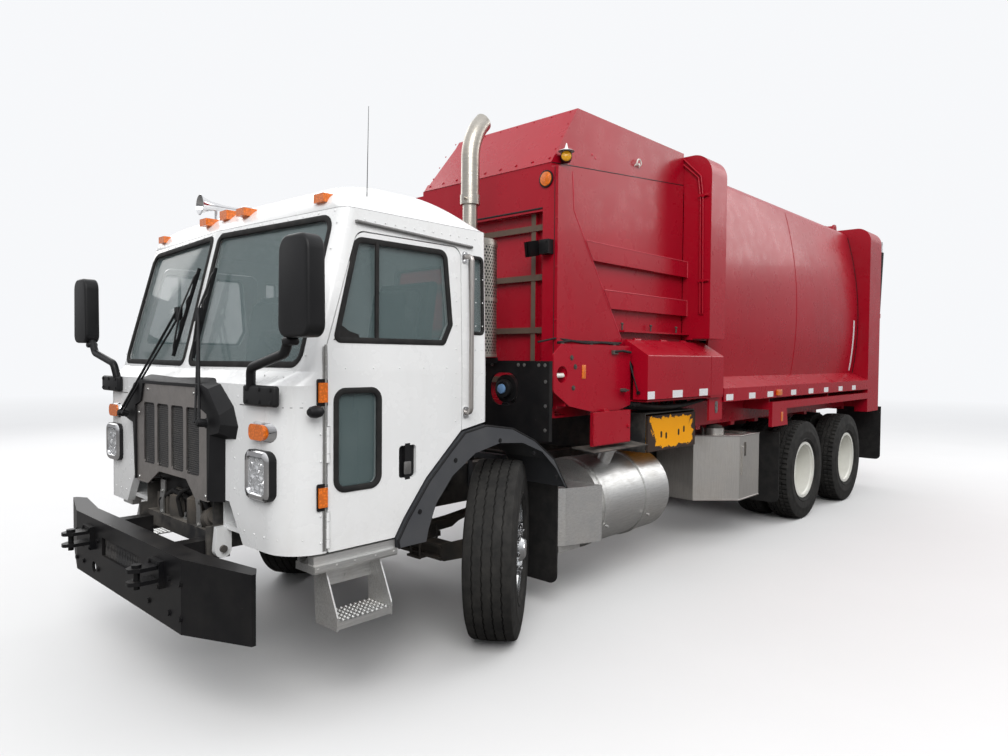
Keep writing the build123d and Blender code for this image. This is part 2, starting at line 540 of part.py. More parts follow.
def rings():
    """Flange rings at both ends of the body, with rounded top corners and an open middle."""
    h = HALF_WIDTH
    end = RING_REAR[1] - 10
    inside = Solid.extrude(shell_face(end, SHELL_T), Vector(RING_FRONT[0] + 10 - end, 0, 0))
    front = prism("x", [(-h, 1870), (-h, RING_TOP, 170), (h, RING_TOP, 170), (h, 1870), (955, 1870), (955, 1105),
                        (-955, 1105), (-955, 1870)], *RING_FRONT)
    rear = prism("x", [(-h, 1045), (-h, RING_TOP, 170), (h, RING_TOP, 170), (h, 1045), (1060, 1045), (1060, 1105),
                       (-1060, 1105), (-1060, 1045)], *RING_REAR)
    front, rear = front - inside, rear - inside
    collar = prism("x", [(-h, 1870), (-h, RING_TOP, 170), (h, RING_TOP, 170), (h, 1870)],
                   RING_FRONT[0] - 12, RING_FRONT[0])
    front = front + (collar - box(-3000, -2000, -962, 962, 1000, 4000))
    hx, hz = GATE_HINGE
    lugs = [prism("y", [(hx - 60, RING_TOP - 10), (hx - 50, hz + 45, 40), (hx + 50, hz + 45, 40),
                        (hx + 120, RING_TOP - 10)], y, y + 24) for y in (520, 640)]
    lugs = lugs + [flip(g) for g in lugs]
    pins = [rod((hx, s * 515, hz), (hx, s * 670, hz), 22) for s in (1, -1)]
    feet = []
    fx, fz = RAM_FOOT
    for s in (1, -1):
        feet.append(box(RING_REAR[1] - 10, RING_REAR[1] + 10, s * RAM_Y - 45, s * RAM_Y + 45, fz - 60, fz + 60))
        for dy in (-42, 30):
            feet.append(box(fx - 30, RING_REAR[1], s * RAM_Y + dy, s * RAM_Y + dy + 12, fz - 30, fz + 30))
        feet.append(rod((fx, s * RAM_Y - 44, fz), (fx, s * RAM_Y + 44, fz), 15))
    return group(front, fuse(rear, *lugs, *pins, *feet))


def body_rails():
    """Side ledges with their marker rail, and the fender shelf over the drive wheels."""
    x0, x1 = RING_FRONT[1], RING_REAR[0]
    h = HALF_WIDTH
    wall = h - 284               # just outside the shell's lower side
    ledge = prism("x", [(h - 203, 1548), (h + 5, 1450), (h + 5, 1335), (h - 3, 1335), (h - 3, 1443), (h - 203, 1538)], x1, x0)
    web = prism("x", [(wall, 1335), (h - 3, 1335), (h - 3, 1343), (wall, 1343)], x1, x0)
    shelf = prism("y", [(-3700, 1050), (-3700, 1290), (x1, 1290), (x1, 1215), (-4060, 1215), (-4090, 1050)], h - 35, h)
    deck = box(-3700, x1, wall, h - 30, 1282, 1290)
    hang = [box(x, x - 10, wall, h - 35, 1215, 1336) for x in (-3700, -5360, x1 + 10)]
    sill = box(-7190, -2420, 342, RAIL_Y, RAIL_Z1, 1104)
    cross = [box(x - 40, x + 40, RAIL_Y, wall - 2, 1070, 1104) for x in (-2750, -3450, -4000, -5368, -6700)]
    side = fuse(ledge, web, shelf, deck, *hang, sill, *cross)
    return both(side - Solid.extrude(shell_face(x1 - 10), Vector(x0 - x1 + 20, 0, 0)))


def cover_skin(x0, x1):
    """Sloped sheet over the valves between two stations."""
    y, z = COVER_HINGE
    return prism("x", [(y + 10, z - 2), (y + 200, z - 118, 12), (y + 200, z - 440), (y + 192, z - 440),
                       (y + 192, z - 122), (y + 6, z - 9)], x1, x0)


def cover_cheek(x0, x1):
    """End plate that closes the sloped sheet."""
    y, z = COVER_HINGE
    return prism("x", [(y + 10, z - 2), (y + 200, z - 118), (y + 200, z - 440), (y + 78, z - 440), (y + 78, z - 200),
                       (y, z - 90)], x0, x1)


def valve_cover():
    """Hinged lid over the valves, hollow below, from its front cheek to the flange ring."""
    y, z = COVER_HINGE
    x0, x1 = COVER_X
    knuckles = [rod((x, y, z), (x - 90, y, z), 11) for x in (x0 - 120, x0 - 500, x0 - 820)]
    return fuse(cover_skin(x0, x1), cover_cheek(x0 - 8, x0), *knuckles)


def valve_bay():
    """Shelf, back plate and valve blocks under the lid, and its fixed end below the flange ring."""
    x0, x1 = COVER_X[0] - 20, COVER_X[1] - 8
    end = RING_FRONT[1] + 60
    shelf = box(x0, x1, 1000, HALF_WIDTH + 7, 1382, 1394)
    back = box(x0, x1, HOP_Y + 2, 1000, 1382, 1846)
    valves = box(x0 - 160, x0 - 800, 1000, 1110, 1394, 1560)
    tail = fuse(cover_skin(x1 + 2, end), cover_cheek(x1 + 2, x1 - 6), cover_cheek(end, end + 8))
    post = box(-2405, -2645, 1190, 1205, 1187, 1382)
    link = box(x1 + 10, -2600, 1000, 1205, 1370, 1382)
    foot = box(x1, end, 1110, HALF_WIDTH + 20, 1382, 1402)
    return fuse(shelf, back, valves, tail, foot, post, link)


def tailgate():
    """Bulged rear door, hollow, with hinge ears on top and ram ears at the sides."""
    out = [(-7225, 3400), (-7330, 3400, 60), (-7560, 3080, 260), (-7810, 2470, 300), (-7560, 1700, 300),
           (-7330, 1120, 60), (-7225, 1120)]
    skin = prism("y", out, -GATE_Y, GATE_Y)
    inn = [(-7200, 3360), (-7310, 3360, 40), (-7530, 3060, 240), (-7776, 2470, 280), (-7530, 1715, 280),
           (-7312, 1160, 40), (-7200, 1160)]
    skin = skin - prism("y", inn, -GATE_Y + 26, GATE_Y - 26)
    hx, hz = GATE_HINGE
    ears = []
    for s in (1, -1):
        y = s * 592
        ear = prism("y", [(hx - 220, 3360), (hx - 240, 3470, 20), (hx - 60, hz + 36, 30), (hx + 34, hz + 36, 30),
                          (hx + 34, hz - 36, 30), (hx - 60, hz - 40), (hx - 135, 3420), (hx - 140, 3360)],
                    y - 40, y + 40)
        ears.append(ear - rod((hx, y - 60, hz), (hx, y + 60, hz), 22.6))
        ex, ez = RAM_EAR
        ears.append(box(ex - 40, ex + 40, s * (GATE_Y - 5), s * (GATE_Y + 22), ez - 40, ez + 40))
        ears.append(rod((ex, s * GATE_Y, ez), (ex, s * (RAM_Y - 30), ez), 18))
    return fuse(skin, *ears)


def ram_parts(side):
    """Lift cylinder of the tailgate: barrel with its foot eye, and rod with a flat head beside the ear."""
    fx, fz = RAM_FOOT
    ex, ez = RAM_EAR
    length = hypot(ex - fx, ez - fz)
    ux, uz = (ex - fx) / length, (ez - fz) / length
    y = side * RAM_Y

    def at(d):
        return (fx + ux * d, y, fz + uz * d)
    eye = tube((fx, y - 24, fz), (fx, y + 24, fz), 30, 15.4)
    neck = rod(at(20), at(62), 20) - rod((fx, y - 60, fz), (fx, y + 60, fz), 20)
    barrel = fuse(tube(at(58), at(860), 42, 28), rod(at(50), at(66), 42), neck, eye)
    stem = rod(at(150), at(length - 24), 25)
    head = rod((ex, y - 16, ez), (ex, y + 16, ez), 34)
    return barrel, fuse(stem, head)


# loading arm on the right side

def arm_guide():
    """Crosswise box guide for the reach beam, open at both ends."""
    xa, xb = -1580.0, -2350.0
    out = box(xb, xa, -900, 1100, 968, 1284)
    out = out - box(xb + 8, xa - 8, -1000, 1200, 976, 1276)
    out = out - box(xb + 130, xa - 130, -650, 1000, 960, 1300) - box(xb - 5, xa + 5, 500, 1200, 960, 984)
    pads = [box(BEAM_X - 150, BEAM_X + 150, -890, -780, 970, BEAM_Z0 - 6),
            box(BEAM_X - 150, BEAM_X + 150, -890, -780, BEAM_Z1 + 6, 1280)]
    return fuse(out, *pads)


def arm_slide():
    """Reach beam with its mast, and the yellow tail plate at its left end."""
    x0, x1 = BEAM_X - BEAM_HALF, BEAM_X + BEAM_HALF
    beam = box(x0, x1, -1090, 1100, BEAM_Z0, BEAM_Z1) - box(x0 + 12, x1 - 12, -1078, 1090, BEAM_Z0 + 12, BEAM_Z1 - 12)
    tail = box(-1595, -2335, 1100.5, 1118, 988, 1262)
    mast = prism("y", [(BEAM_X - 120, BEAM_Z0), (BEAM_X - 120, 1580, 20), (BEAM_X - 60, 1700, 20),
                       (BEAM_X + 60, 1700, 20), (BEAM_X + 120, 1580, 20), (BEAM_X + 120, BEAM_Z0)], -1090, -1060)
    ay, az = ARM_PIVOT
    cheeks = [prism("x", [(-1070, az - 160), (-1070, az + 70), (ay - 40, az + 60, 40), (ay - 50, az - 50, 40)],
                    x, x + 20) for x in (BEAM_X - 118, BEAM_X + 98)]
    pin = rod((BEAM_X - 122, ay, az), (BEAM_X + 122, ay, az), 28)
    return fuse(beam, mast, *cheeks, pin), tail


def lift_arm():
    """Arm that hangs from the mast, with the crosswise gripper carrier."""
    ay, az = ARM_PIVOT
    boss = tube((BEAM_X - 90, ay, az), (BEAM_X + 90, ay, az), 48, 28.6)
    leg = prism("x", [(ay - 20, az - 42), (ay + 20, az - 42), (ay - 20, 1400), (ay - 64, 1010), (ay - 64, 800),
                      (ay - 120, 800), (ay - 120, 1020), (ay - 80, 1400)], BEAM_X - 60, BEAM_X + 60)
    bar = box(BEAM_X - 350, BEAM_X + 350, ay - 160, ay - 100, 800, 1000)
    ears = []
    for s in (1, -1):
        x = BEAM_X + s * 330
        for z in (800, 974):
            ears.append(box(x - 34, x + 34, ay - 245, ay - 155, z, z + 26))
        ears.append(rod((x, ay - 215, 800), (x, ay - 215, 1000), 14))
    return fuse(boss, leg, bar, *ears)


def finger(s):
    """Curved gripper finger, folded across the front of the carrier."""
    ay = ARM_PIVOT[0]
    x, y = BEAM_X + s * 330, ARM_PIVOT[0] - 215
    plan = [(x + s * 20, y), (x + s * 8, y - 60, 20), (x - s * 120, y - 92, 60), (x - s * 300, y - 60, 8),
            (x - s * 296, y - 44, 6), (x - s * 120, y - 64, 60), (x - s * 20, y - 22), (x - s * 16, y)]
    low, high = (836, 890) if s > 0 else (908, 964)
    blade = prism("z", plan, low, high) - rod((x, y, 700), (x, y, 1100), 20)
    hub = tube((x, y, 830), (x, y, 970), 24, 14.4)
    return fuse(blade, hub)


# cab

#        z       side y  front x  centre x  corner r
CAB_SECTIONS = (
    (600.0, 1150.0, 1436.0, 1452.0, 190.0),
    (1560.0, 1150.0, 1436.0, 1452.0, 190.0),
    (1625.0, 1150.0, 1334.0, 1401.0, 90.0),
    (2400.0, 1129.3, 1129.6, 1211.1, 60.0),
)

#         z       side y  front x  centre x  back x  corner r
ROOF_SECTIONS = (
    (2402.0, 1129.3, 1129.6, 1211.1, 180.0, 60.0),
    (2450.0, 1092.0, 1120.0, 1176.0, 250.0, 100.0),
    (2527.0, 1010.0, 1040.0, 1085.0, 350.0, 150.0),
    (2582.0, 880.0, 900.0, 930.0, 470.0, 160.0),
    (2622.0, 640.0, 700.0, 720.0, 580.0, 60.0),
)

# the cab's lower edge behind the step, 14 mm clear of the fender
UNDER_LINE = [(848, 790), (791, 880), (643, 1067), (486, 1211), (390, 1299), (209, 1332), (100, 1334)]
DOOR_EDGE = [(1236, 790, 10)] + UNDER_LINE[:5] + [(390, 2290, 60), (1062, 2290, 60), (1236, 1747)]
DOOR_PANE = [(1192, 1772, 20), (1066, 2252, 40), (502, 2252, 40), (468, 1872, 10), (522, 1772, 20)]
DOOR_LIGHT = [(1193, 1535, 50), (945, 1535, 50), (945, 1071, 50), (1193, 1071, 50)]
SHIELD_PANE = [(38, 1650, 40), (1060, 1655, 60), (1048, 2358, 70), (38, 2366, 40)]


def cab_block(inset=0.0, z0=600.0, z1=2400.0):
    """Solid of the cab's outer form, drawn in by inset on every side."""
    wires = []
    low, high = CAB_SECTIONS[-2:]
    t = (z1 - low[0]) / (high[0] - low[0])
    top = tuple(a + (b - a) * t for a, b in zip(low, high))
    for z, y, front, centre, r in ((z0,) + CAB_SECTIONS[0][1:],) + CAB_SECTIONS[1:-1] + (top,):
        back, i = CAB_BACK + inset, inset
        pts = [(back, -y + i, max(40 - i, 8)), (front - i, -y + i, max(r - i, 12)), (centre - i, 0),
               (front - i, y - i, max(r - i, 12)), (back, y - i, max(40 - i, 8))]
        wires.append(outline("z", pts, z))
    return Solid.make_loft(wires, ruled=True)


def grow(pts, d):
    """Outline pushed outward by d along each corner's bisector (inward if d is negative)."""
    area = sum(a[0] * b[1] - b[0] * a[1] for a, b in zip(pts, pts[1:] + pts[:1]))
    d = d if area > 0 else -d
    out = []
    for i, pt in enumerate(pts):
        p, q = pts[i - 1], pts[(i + 1) % len(pts)]
        e1 = (pt[0] - p[0], pt[1] - p[1])
        e2 = (q[0] - pt[0], q[1] - pt[1])
        l1, l2 = hypot(*e1), hypot(*e2)
        n1, n2 = (e1[1] / l1, -e1[0] / l1), (e2[1] / l2, -e2[0] / l2)
        k = d / (1 + n1[0] * n2[0] + n1[1] * n2[1])
        new = (pt[0] + (n1[0] + n2[0]) * k, pt[1] + (n1[1] + n2[1]) * k)
        out.append(new + tuple(pt[2:]))
    return out


def hinge_barrel(z0, z1, r):
    """Round length on the left door's hinge axis."""
    x, y = DOOR_HINGE
    return rod((x, y, z0), (x, y, z1), r)


def cab_shell():
    """Hollow cab: walls, side floors, engine tunnel and every window and door opening."""
    w = CAB_WALL
    block = cab_block()
    shell = block - cab_block(w, 500.0, 2430.0)
    under = prism("y", [(1600, 500), (1600, 790)] + UNDER_LINE + [(0, 1334), (0, 500)], -1300, 1300)
    shell = shell - under
    low = [(1400, FLOOR_Z - FLOOR_T), (866, FLOOR_Z - FLOOR_T), (806, 892), (658, 1080), (500, 1226), (396, 1318),
           (209, 1350), (190, 1350)]
    high = [(190, 1374), (212, 1374), (406, 1342), (515, 1246), (676, 1096), (826, 910), (880, FLOOR_Z),
            (1400, FLOOR_Z)]
    floor = prism("y", low + high, TUNNEL_Y, 1130)
    wall = prism("y", low + [(190, TUNNEL_Z + 18), (1400, TUNNEL_Z + 18)], TUNNEL_Y, TUNNEL_Y + 18)
    top = box(190, 1415, -TUNNEL_Y - 10, TUNNEL_Y + 10, TUNNEL_Z, TUNNEL_Z + 18)
    px, pz = CAB_TILT
    lug = prism("y", [(px - 45, 830), (px - 45, pz - 45, 38), (px + 45, pz - 45, 38), (px + 30, 830)], 458, 494)
    lug = lug - rod((px, 440, pz), (px, 520, pz), 18.6)
    shell = shell - box(1300, 1500, -TUNNEL_Y, TUNNEL_Y, 700, TUNNEL_Z)
    shell = shell - prism("x", [(-750, 780), (750, 780), (610, 980), (-610, 980)], 1300, 1500)
    shell = shell - box(100, 300, -TUNNEL_Y, TUNNEL_Y, 1200, TUNNEL_Z)
    side_floor = fuse(floor, wall, lug) & cab_block(1.0, 500.0, 2430.0).fuse(box(1370, 1470, 440, 520, 600, 850))
    shell = fuse(shell, side_floor, flip(side_floor), top)
    opening = prism("y", grow(DOOR_EDGE, DOOR_GAP), 1000, 1300)
    opening = opening + box(800, 1242, 1050, 1300, 700, 830)
    shell = shell - opening - flip(opening)
    for z in DOOR_HINGE_Z:
        room = hinge_barrel(z - 42, z + 42, 16)
        pin = fuse(hinge_barrel(z + 42, z + 82, 12), hinge_barrel(z - 82, z - 42, 12), hinge_barrel(z - 50, z + 50, 5))
        shell = fuse(shell - room - flip(room), pin, flip(pin))
    pane = prism("x", SHIELD_PANE, 1050, 1500)
    shell = shell - pane - flip(pane)
    quarter = prism("y", [(222, 1830, 20), (318, 1830, 20), (318, 2250, 20), (222, 2250, 20)], 1000, 1300)
    shell = shell - quarter - flip(quarter)
    rear = prism("x", [(340, 1800, 40), (900, 1800, 40), (900, 2240, 40), (340, 2240, 40)], 100, 300)
    return shell - rear - flip(rear)


def cab_glass():
    """Windscreen panes, and the rear and quarter panes."""
    sheet = cab_block(16.0) - cab_block(22.0, 500.0, 2430.0)
    pane = prism("x", grow(SHIELD_PANE, -1.5), 1050, 1500) & sheet
    quarter = prism("y", grow([(222, 1830, 20), (318, 1830, 20), (318, 2250, 20), (222, 2250, 20)], -1.5),
                    1000, 1300) & sheet
    rear = prism("x", grow([(340, 1800, 40), (900, 1800, 40), (900, 2240, 40), (340, 2240, 40)], -1.5),
                 100, 300) & sheet
    return both(group(pane, quarter, rear))


def roof_block(i=0.0, drop=0.0):
    """Solid of the roof dome, drawn in by i and lowered by drop."""
    wires = []
    for z, y, front, centre, back, r in ROOF_SECTIONS:
        pts = [(back + i, -y + i, max(r - i, 20)), (front - i, -y + i, max(r - i, 20)), (centre - i, 0),
               (front - i, y - i, max(r - i, 20)), (back + i, y - i, max(r - i, 20))]
        wires.append(outline("z", pts, z - drop))
    return Solid.make_loft(wires, ruled=False)


def roof():
    """Domed roof shell."""
    return roof_block() - roof_block(34.0, 26.0)


def door():
    """Left door: panel with its pane openings and handle recess."""
    panel = (cab_block() - cab_block(DOOR_T, 500.0, 2430.0)) & prism("y", DOOR_EDGE, 1000, 1300)
    panel = panel - prism("y", DOOR_PANE, 1000, 1300) - prism("y", DOOR_LIGHT, 1000, 1300)
    panel = panel - prism("y", [(822, 1248, 20), (710, 1248, 20), (710, 1083, 20), (822, 1083, 20)], 1128, 1300)
    bar = box(752, 782, 1134, 1149, 1075, 1256)
    for z in DOOR_HINGE_Z:
        panel = panel - hinge_barrel(z + 41, z + 84, 16) - hinge_barrel(z - 84, z - 41, 16)
        panel = fuse(panel, hinge_barrel(z - 40, z + 40, 12)) - hinge_barrel(z - 85, z + 85, 5.4)
    return fuse(panel, bar)


def door_glass():
    sheet = cab_block(16.0) - cab_block(22.0, 500.0, 2430.0)
    return group(prism("y", grow(DOOR_PANE, -1.5), 1000, 1300) & sheet,
                 prism("y", grow(DOOR_LIGHT, -1.5), 1000, 1300) & sheet)


def grille():
    """Stainless grille plate with its slots, and the black surround that slopes back from it."""
    half = [(352, 1530, 15), (385, 1430, 10), (467, 1400, 15), (467, 959, 10), (310, 959, 10)]
    plate = [(-u, v, r) for u, v, r in half[::-1]] + half
    plate = plate + [(205, 1045, 20), (-150, 1045, 20)]
    face = prism("x", plate, 1474, 1482)
    for k in range(4):
        c = -285 + 190 * k
        face = face - prism("x", [(c - 78, 1425, 20), (c + 78, 1425, 20), (c + 78, 1076, 20), (c - 78, 1076, 20)],
                            1460, 1500)
    #  base y, base z, front y, front z
    rim = ((404, 1582, 411, 1549), (541, 1564, 485, 1529), (675, 1466, 607, 1405), (732, 1352, 616, 1360),
           (708, 1281, 598, 1318), (602, 1274, 505, 1300), (608, 969, 478, 969))
    base = [(row[0], row[1]) for row in rim] + [(-row[0], row[1]) for row in rim[::-1]]
    front = [(row[2], row[3]) for row in rim] + [(-row[2], row[3]) for row in rim[::-1]]
    ring = Solid.make_loft([outline("x", base, 1425), outline("x", front, 1492)], ruled=True)
    room = [(353.5, 1532), (386.5, 1431), (469, 1402), (469, 950)]
    ring = ring - prism("x", room + [(-u, v) for u, v in room[::-1]], 1400, 1520) - cab_block()
    mesh = prism("x", [(-372, 1440), (372, 1440), (372, 1062), (-372, 1062)], 1462, 1470)
    return face, group(ring, mesh, headlamps())


def mirrors():
    """Head, arm and front bracket of both mirrors."""
    head = prism("x", [(1210, 1765, 60), (1460, 1765, 60), (1460, 2200, 60), (1210, 2200, 60)], 1440, 1530)
    arm = pipe([(1455, 850, 1530), (1470, 880, 1640), (1478, 1190, 1705), (1482, 1245, 1800)], 22, 50)
    base = box(1400, 1474, 800, 1090, 1465, 1562)
    return both(fuse(head, arm, base) - cab_block())


def headlamps():
    housing = prism("x", [(810, 1030, 45), (1030, 1030, 45), (1030, 1262, 45), (810, 1262, 45)], 1380, 1462)
    housing = housing - prism("x", [(832, 1052, 30), (1008, 1052, 30), (1008, 1240, 30), (832, 1240, 30)], 1448, 1500)
    return both(housing - cab_block())


def cab_lamps():
    """Amber marker and turn lamps of the cab."""
    dome = roof_block()
    top = [box(x - 60, x + 34, y - 42, y + 42, z - 8, z + 34) - dome for x, y, z in ((1120, 940, 2447), (1160, 228, 2469))]
    mid = box(1090, 1180, -42, 42, 2470, 2522) - dome
    turn = prism("x", [(845, 1308, 30), (985, 1308, 30), (985, 1382, 30), (845, 1382, 30)], 1400, 1466) - cab_block()
    side = [box(1246, 1290, 1120, 1166, z - 45, z + 45) - cab_block() for z in (1050, 1530)]
    return group(both(group(*top, turn, *side)), mid)


def steps():
    """Boarding step under the door, in grip-tread plate."""
    tread = fuse(box(917, 1233, 1045, 1222, 470, 478), box(917, 1233, 1214, 1222, 445, 478))
    back = box(917, 1233, 1045, 1053, 600, 742)
    side = [prism("x", [(1020, 745), (1125, 745), (1130, 690), (1222, 500), (1222, 438), (1045, 438)], x, x + 8)
            for x in (917, 1225)]
    ledge = prism("x", [(1010, 706), (1166, 706), (1172, 716), (1172, 742), (1010, 742)], 846, 1318)
    trim = box(846, 1310, 1100, 1150, 742, 780)
    hangers = [box(x, x + 30, 1012, 1036, 742, 816) for x in (880, 1280)]
    return fuse(tread, back, *side, ledge, trim, *hangers)


def dashboard():
    dash = prism("y", [(1370, 1500), (1345, 1585, 10), (1180, 1560, 40), (1140, 1400, 40), (1240, 1240), (1370, 1240)],
                 -1085, 1085)
    dash = dash - box(1000, 1500, -TUNNEL_Y - 24, TUNNEL_Y + 24, 1000, TUNNEL_Z + 22)
    return dash & cab_block(CAB_WALL + 3)


def steering_wheel():
    """Wheel drawn flat across Y, then tilted onto its column."""
    r = 230.0
    ring = [(r + 15 * cos(radians(a)), 15 * sin(radians(a))) for a in range(0, 360, 30)]
    rim = turned(ring)
    hub = rod((0, -30, 0), (0, 14, 0), 48)
    spokes = [Rot(0, a, 0) * rod((30, 0, 0), (r - 6, 0, 0), 11) for a in (0, 120, 240)]
    column = rod((0, -250, 0), (0, -20, 0), 30)
    wheel = Rot(90, 0, 0) * fuse(rim, hub, column, *spokes)
    return Pos(1060, 640, 1700) * Rot(0, -30, 0) * wheel - dashboard()


def seat():
    """Seat frame with pan and back for the pads."""
    base = prism("y", [(505, 1260), (676, 1101), (826, 915), (862, 872), (862, 1420), (505, 1420)], 560, 860)
    pan = box(470, 960, 480, 960, 1420, 1500)
    back = prism("y", [(470, 1500), (540, 1500), (440, 2120, 20), (380, 2120, 20)], 500, 940)
    return fuse(base, pan, back)


def grab_handles():
    rail = pipe([(362, 1152, 2244), (362, 1196, 2244), (362, 1196, 1395), (362, 1152, 1395)], 13, 24)
    return rail - cab_block()


# assembly

def build_nodes():
    """Every node of the truck by name, in the working frame."""
    rest = STEER_REST
    zf, zr = FRONT_TYRE_R, REAR_TYRE_R
    nodes = {}

    # chassis
    nodes["frame_rails"] = frame_rails()
    nodes["crossmembers"] = crossmembers()
    nodes["front_axle"] = front_axle(zf)
    nodes["drive_axles"] = group(*[rear_axle(x, zr) for x in AXLE_REAR], rear_suspension(zr))
    nodes["engine_block"] = engine()
    nodes["radiator"] = radiator()
    nodes["bumper"] = group(bumper(), tow_hooks())
    nodes["fuel_tank"] = fuel_tank()
    nodes["hydraulic_tank"] = hydraulic_tank()
    nodes["front_fenders"] = front_fenders()
    nodes["mudflaps"] = mudflaps()
    nodes["cab_back_panel"] = cab_back_panel()
    nodes["exhaust_stack"] = exhaust()

    # steering and wheels
    for side, s in (("left", 1), ("right", -1)):
        shapes = {"knuckle_": knuckle(zf), "tyre_front_": tyre(FRONT_TYRE_R, FRONT_TYRE_W, FRONT_TYRE_Y, zf),
                  "rim_front_": front_rim(zf)}
        for name, shape in shapes.items():
            shape = shape if s > 0 else flip(shape)
            nodes[name + side] = turn_z(shape, 0, s * KINGPIN_Y, rest)
    nodes["tie_rod"] = tie_rod(zf)
    tyres = group(*[tyre(REAR_TYRE_R, REAR_TYRE_W, y, zr) for y in DUAL_Y])
    rims = rear_rims(zr)
    for k, x in enumerate(AXLE_REAR, 1):
        for side in ("left", "right"):
            for name, shape in (("tyres_drive%d_" % k, tyres), ("rims_drive%d_" % k, rims)):
                shape = shape if side == "left" else flip(shape)
                nodes[name + side] = Pos(x, 0, 0) * shape

    # hopper, body and tailgate
    nodes["hopper"] = group(hopper(), hopper_front(), low_front(), valve_bay())
    nodes["canopy"] = canopy()
    nodes["packer_panel"] = packer_panel()
    nodes["body_shell"] = body_shell()
    nodes["body_rings"] = rings()
    nodes["body_rails"] = body_rails()
    nodes["valve_cover"] = valve_cover()
    nodes["tailgate"] = tailgate()
    for side, s in (("left", 1), ("right", -1)):
        nodes["ram_barrel_" + side], nodes["ram_rod_" + side] = ram_parts(s)

    # loading arm
    nodes["arm_guide"] = arm_guide()
    nodes["arm_slide"] = group(*arm_slide())
    nodes["lift_arm"] = lift_arm()
    nodes["gripper_front"] = finger(1)
    nodes["gripper_rear"] = finger(-1)

    # cab
    nodes["cab_shell"] = group(cab_shell(), roof())
    nodes["cab_glass"] = cab_glass()
    nodes["door_left"] = door()
    nodes["door_right"] = flip(door())
    nodes["door_glass_left"] = door_glass()
    nodes["door_glass_right"] = flip(door_glass())
    nodes["grille"], nodes["cab_trim"] = grille()
    nodes["mirrors"] = mirrors()
    nodes["cab_lamps"] = cab_lamps()
    nodes["cab_steps"] = both(steps())
    nodes["dashboard"] = group(dashboard(), steering_wheel())
    nodes["seats"] = both(seat())
    nodes["grab_handles"] = both(grab_handles())
    return nodes


def main():
    os.makedirs("parts", exist_ok=True)
    nodes = build_nodes()
    boxes = [shape.bounding_box() for shape in nodes.values()]
    shift_x = -(min(b.min.X for b in boxes) + max(b.max.X for b in boxes)) / 2
    for name, shape in nodes.items():
        solids = solids_of(Pos(shift_x, 0, 0) * shape)
        shape = solids[0] if len(solids) == 1 else Compound(children=solids)
        export_step(shape, "parts/%s.step" % name)


main()
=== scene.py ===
"""Looks of the garbage truck: camera, light, materials and the fine pieces around the CAD frame."""
import json
from math import cos, hypot, pi, radians, sin, sqrt

import bmesh
import bpy
from mathutils import Matrix, Vector


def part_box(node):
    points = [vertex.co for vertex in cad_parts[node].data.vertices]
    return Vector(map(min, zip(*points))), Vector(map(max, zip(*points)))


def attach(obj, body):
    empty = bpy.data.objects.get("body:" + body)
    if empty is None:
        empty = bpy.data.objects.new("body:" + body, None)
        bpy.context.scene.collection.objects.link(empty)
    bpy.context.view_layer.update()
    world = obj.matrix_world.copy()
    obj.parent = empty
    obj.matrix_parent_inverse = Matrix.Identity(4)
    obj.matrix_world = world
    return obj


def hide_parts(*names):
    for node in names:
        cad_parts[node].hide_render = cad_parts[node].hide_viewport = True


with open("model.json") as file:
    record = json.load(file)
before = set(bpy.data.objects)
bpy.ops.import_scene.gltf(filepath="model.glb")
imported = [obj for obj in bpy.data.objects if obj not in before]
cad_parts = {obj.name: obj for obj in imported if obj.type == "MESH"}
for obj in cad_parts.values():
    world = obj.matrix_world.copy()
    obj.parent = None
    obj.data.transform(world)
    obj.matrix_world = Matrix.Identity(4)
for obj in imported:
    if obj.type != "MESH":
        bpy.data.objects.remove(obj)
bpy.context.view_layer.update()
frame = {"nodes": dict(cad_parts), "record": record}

# The row frame is the working frame (X = 0 at the front axle) moved along X.
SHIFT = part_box("engine_block")[0][0] + 0.7
# Wheels: the photograph's steering angle, radii, kingpins, driven axles and the two tyres of a pair.
STEER = radians(36)
TYRE_F, TYRE_R = 0.538, 0.525
KINGPIN_Y, HUB_OUT = 0.915, 0.115
AXLES = (-4.682, -6.054)
DUALS = (1.06, 0.717)
# Seat pads: how far the cloth may swell, its mesh size and the top of the seat's frame.
PAD_CAP, PAD_VOXEL, SEAT_BASE = 0.02, 0.006, 1.501
CAMERA_AT, CAMERA_TURN, CAMERA_LENS = (3.06, 3.937, 1.693), (222.794, -1.603, 0.472), 25.217
BACKDROP, DAYLIGHT = (0.93, 0.94, 0.96, 1), 1.12
FLOOR_HALF, FADE_FROM, FADE_TO = 90.0, 9.0, 30.0
# Faces that pieces stand on, and places that several pieces share.
CAB_SIDE, FENDER_SIDE, LAMP_FACE = 1.1502, 1.17, 1.45
HOPPER_FRONT, HOPPER_SIDE, RAIL_FACE, RING_FACE = -0.5995, 0.9605, 1.22, -2.362
PLATE_FACE, SERVICE_DOOR, TAIL_X, MESH_X = 1.1, 1.1535, -7.21, 1.7115
MUFFLER = (-0.12, 0.685)
INTAKE = (-0.29, 0.825, 1.495)
HINGE_ROW = (1.35, 1.48, 1.61, 1.74, 1.87, 2.0, 2.13)


# camera and stage

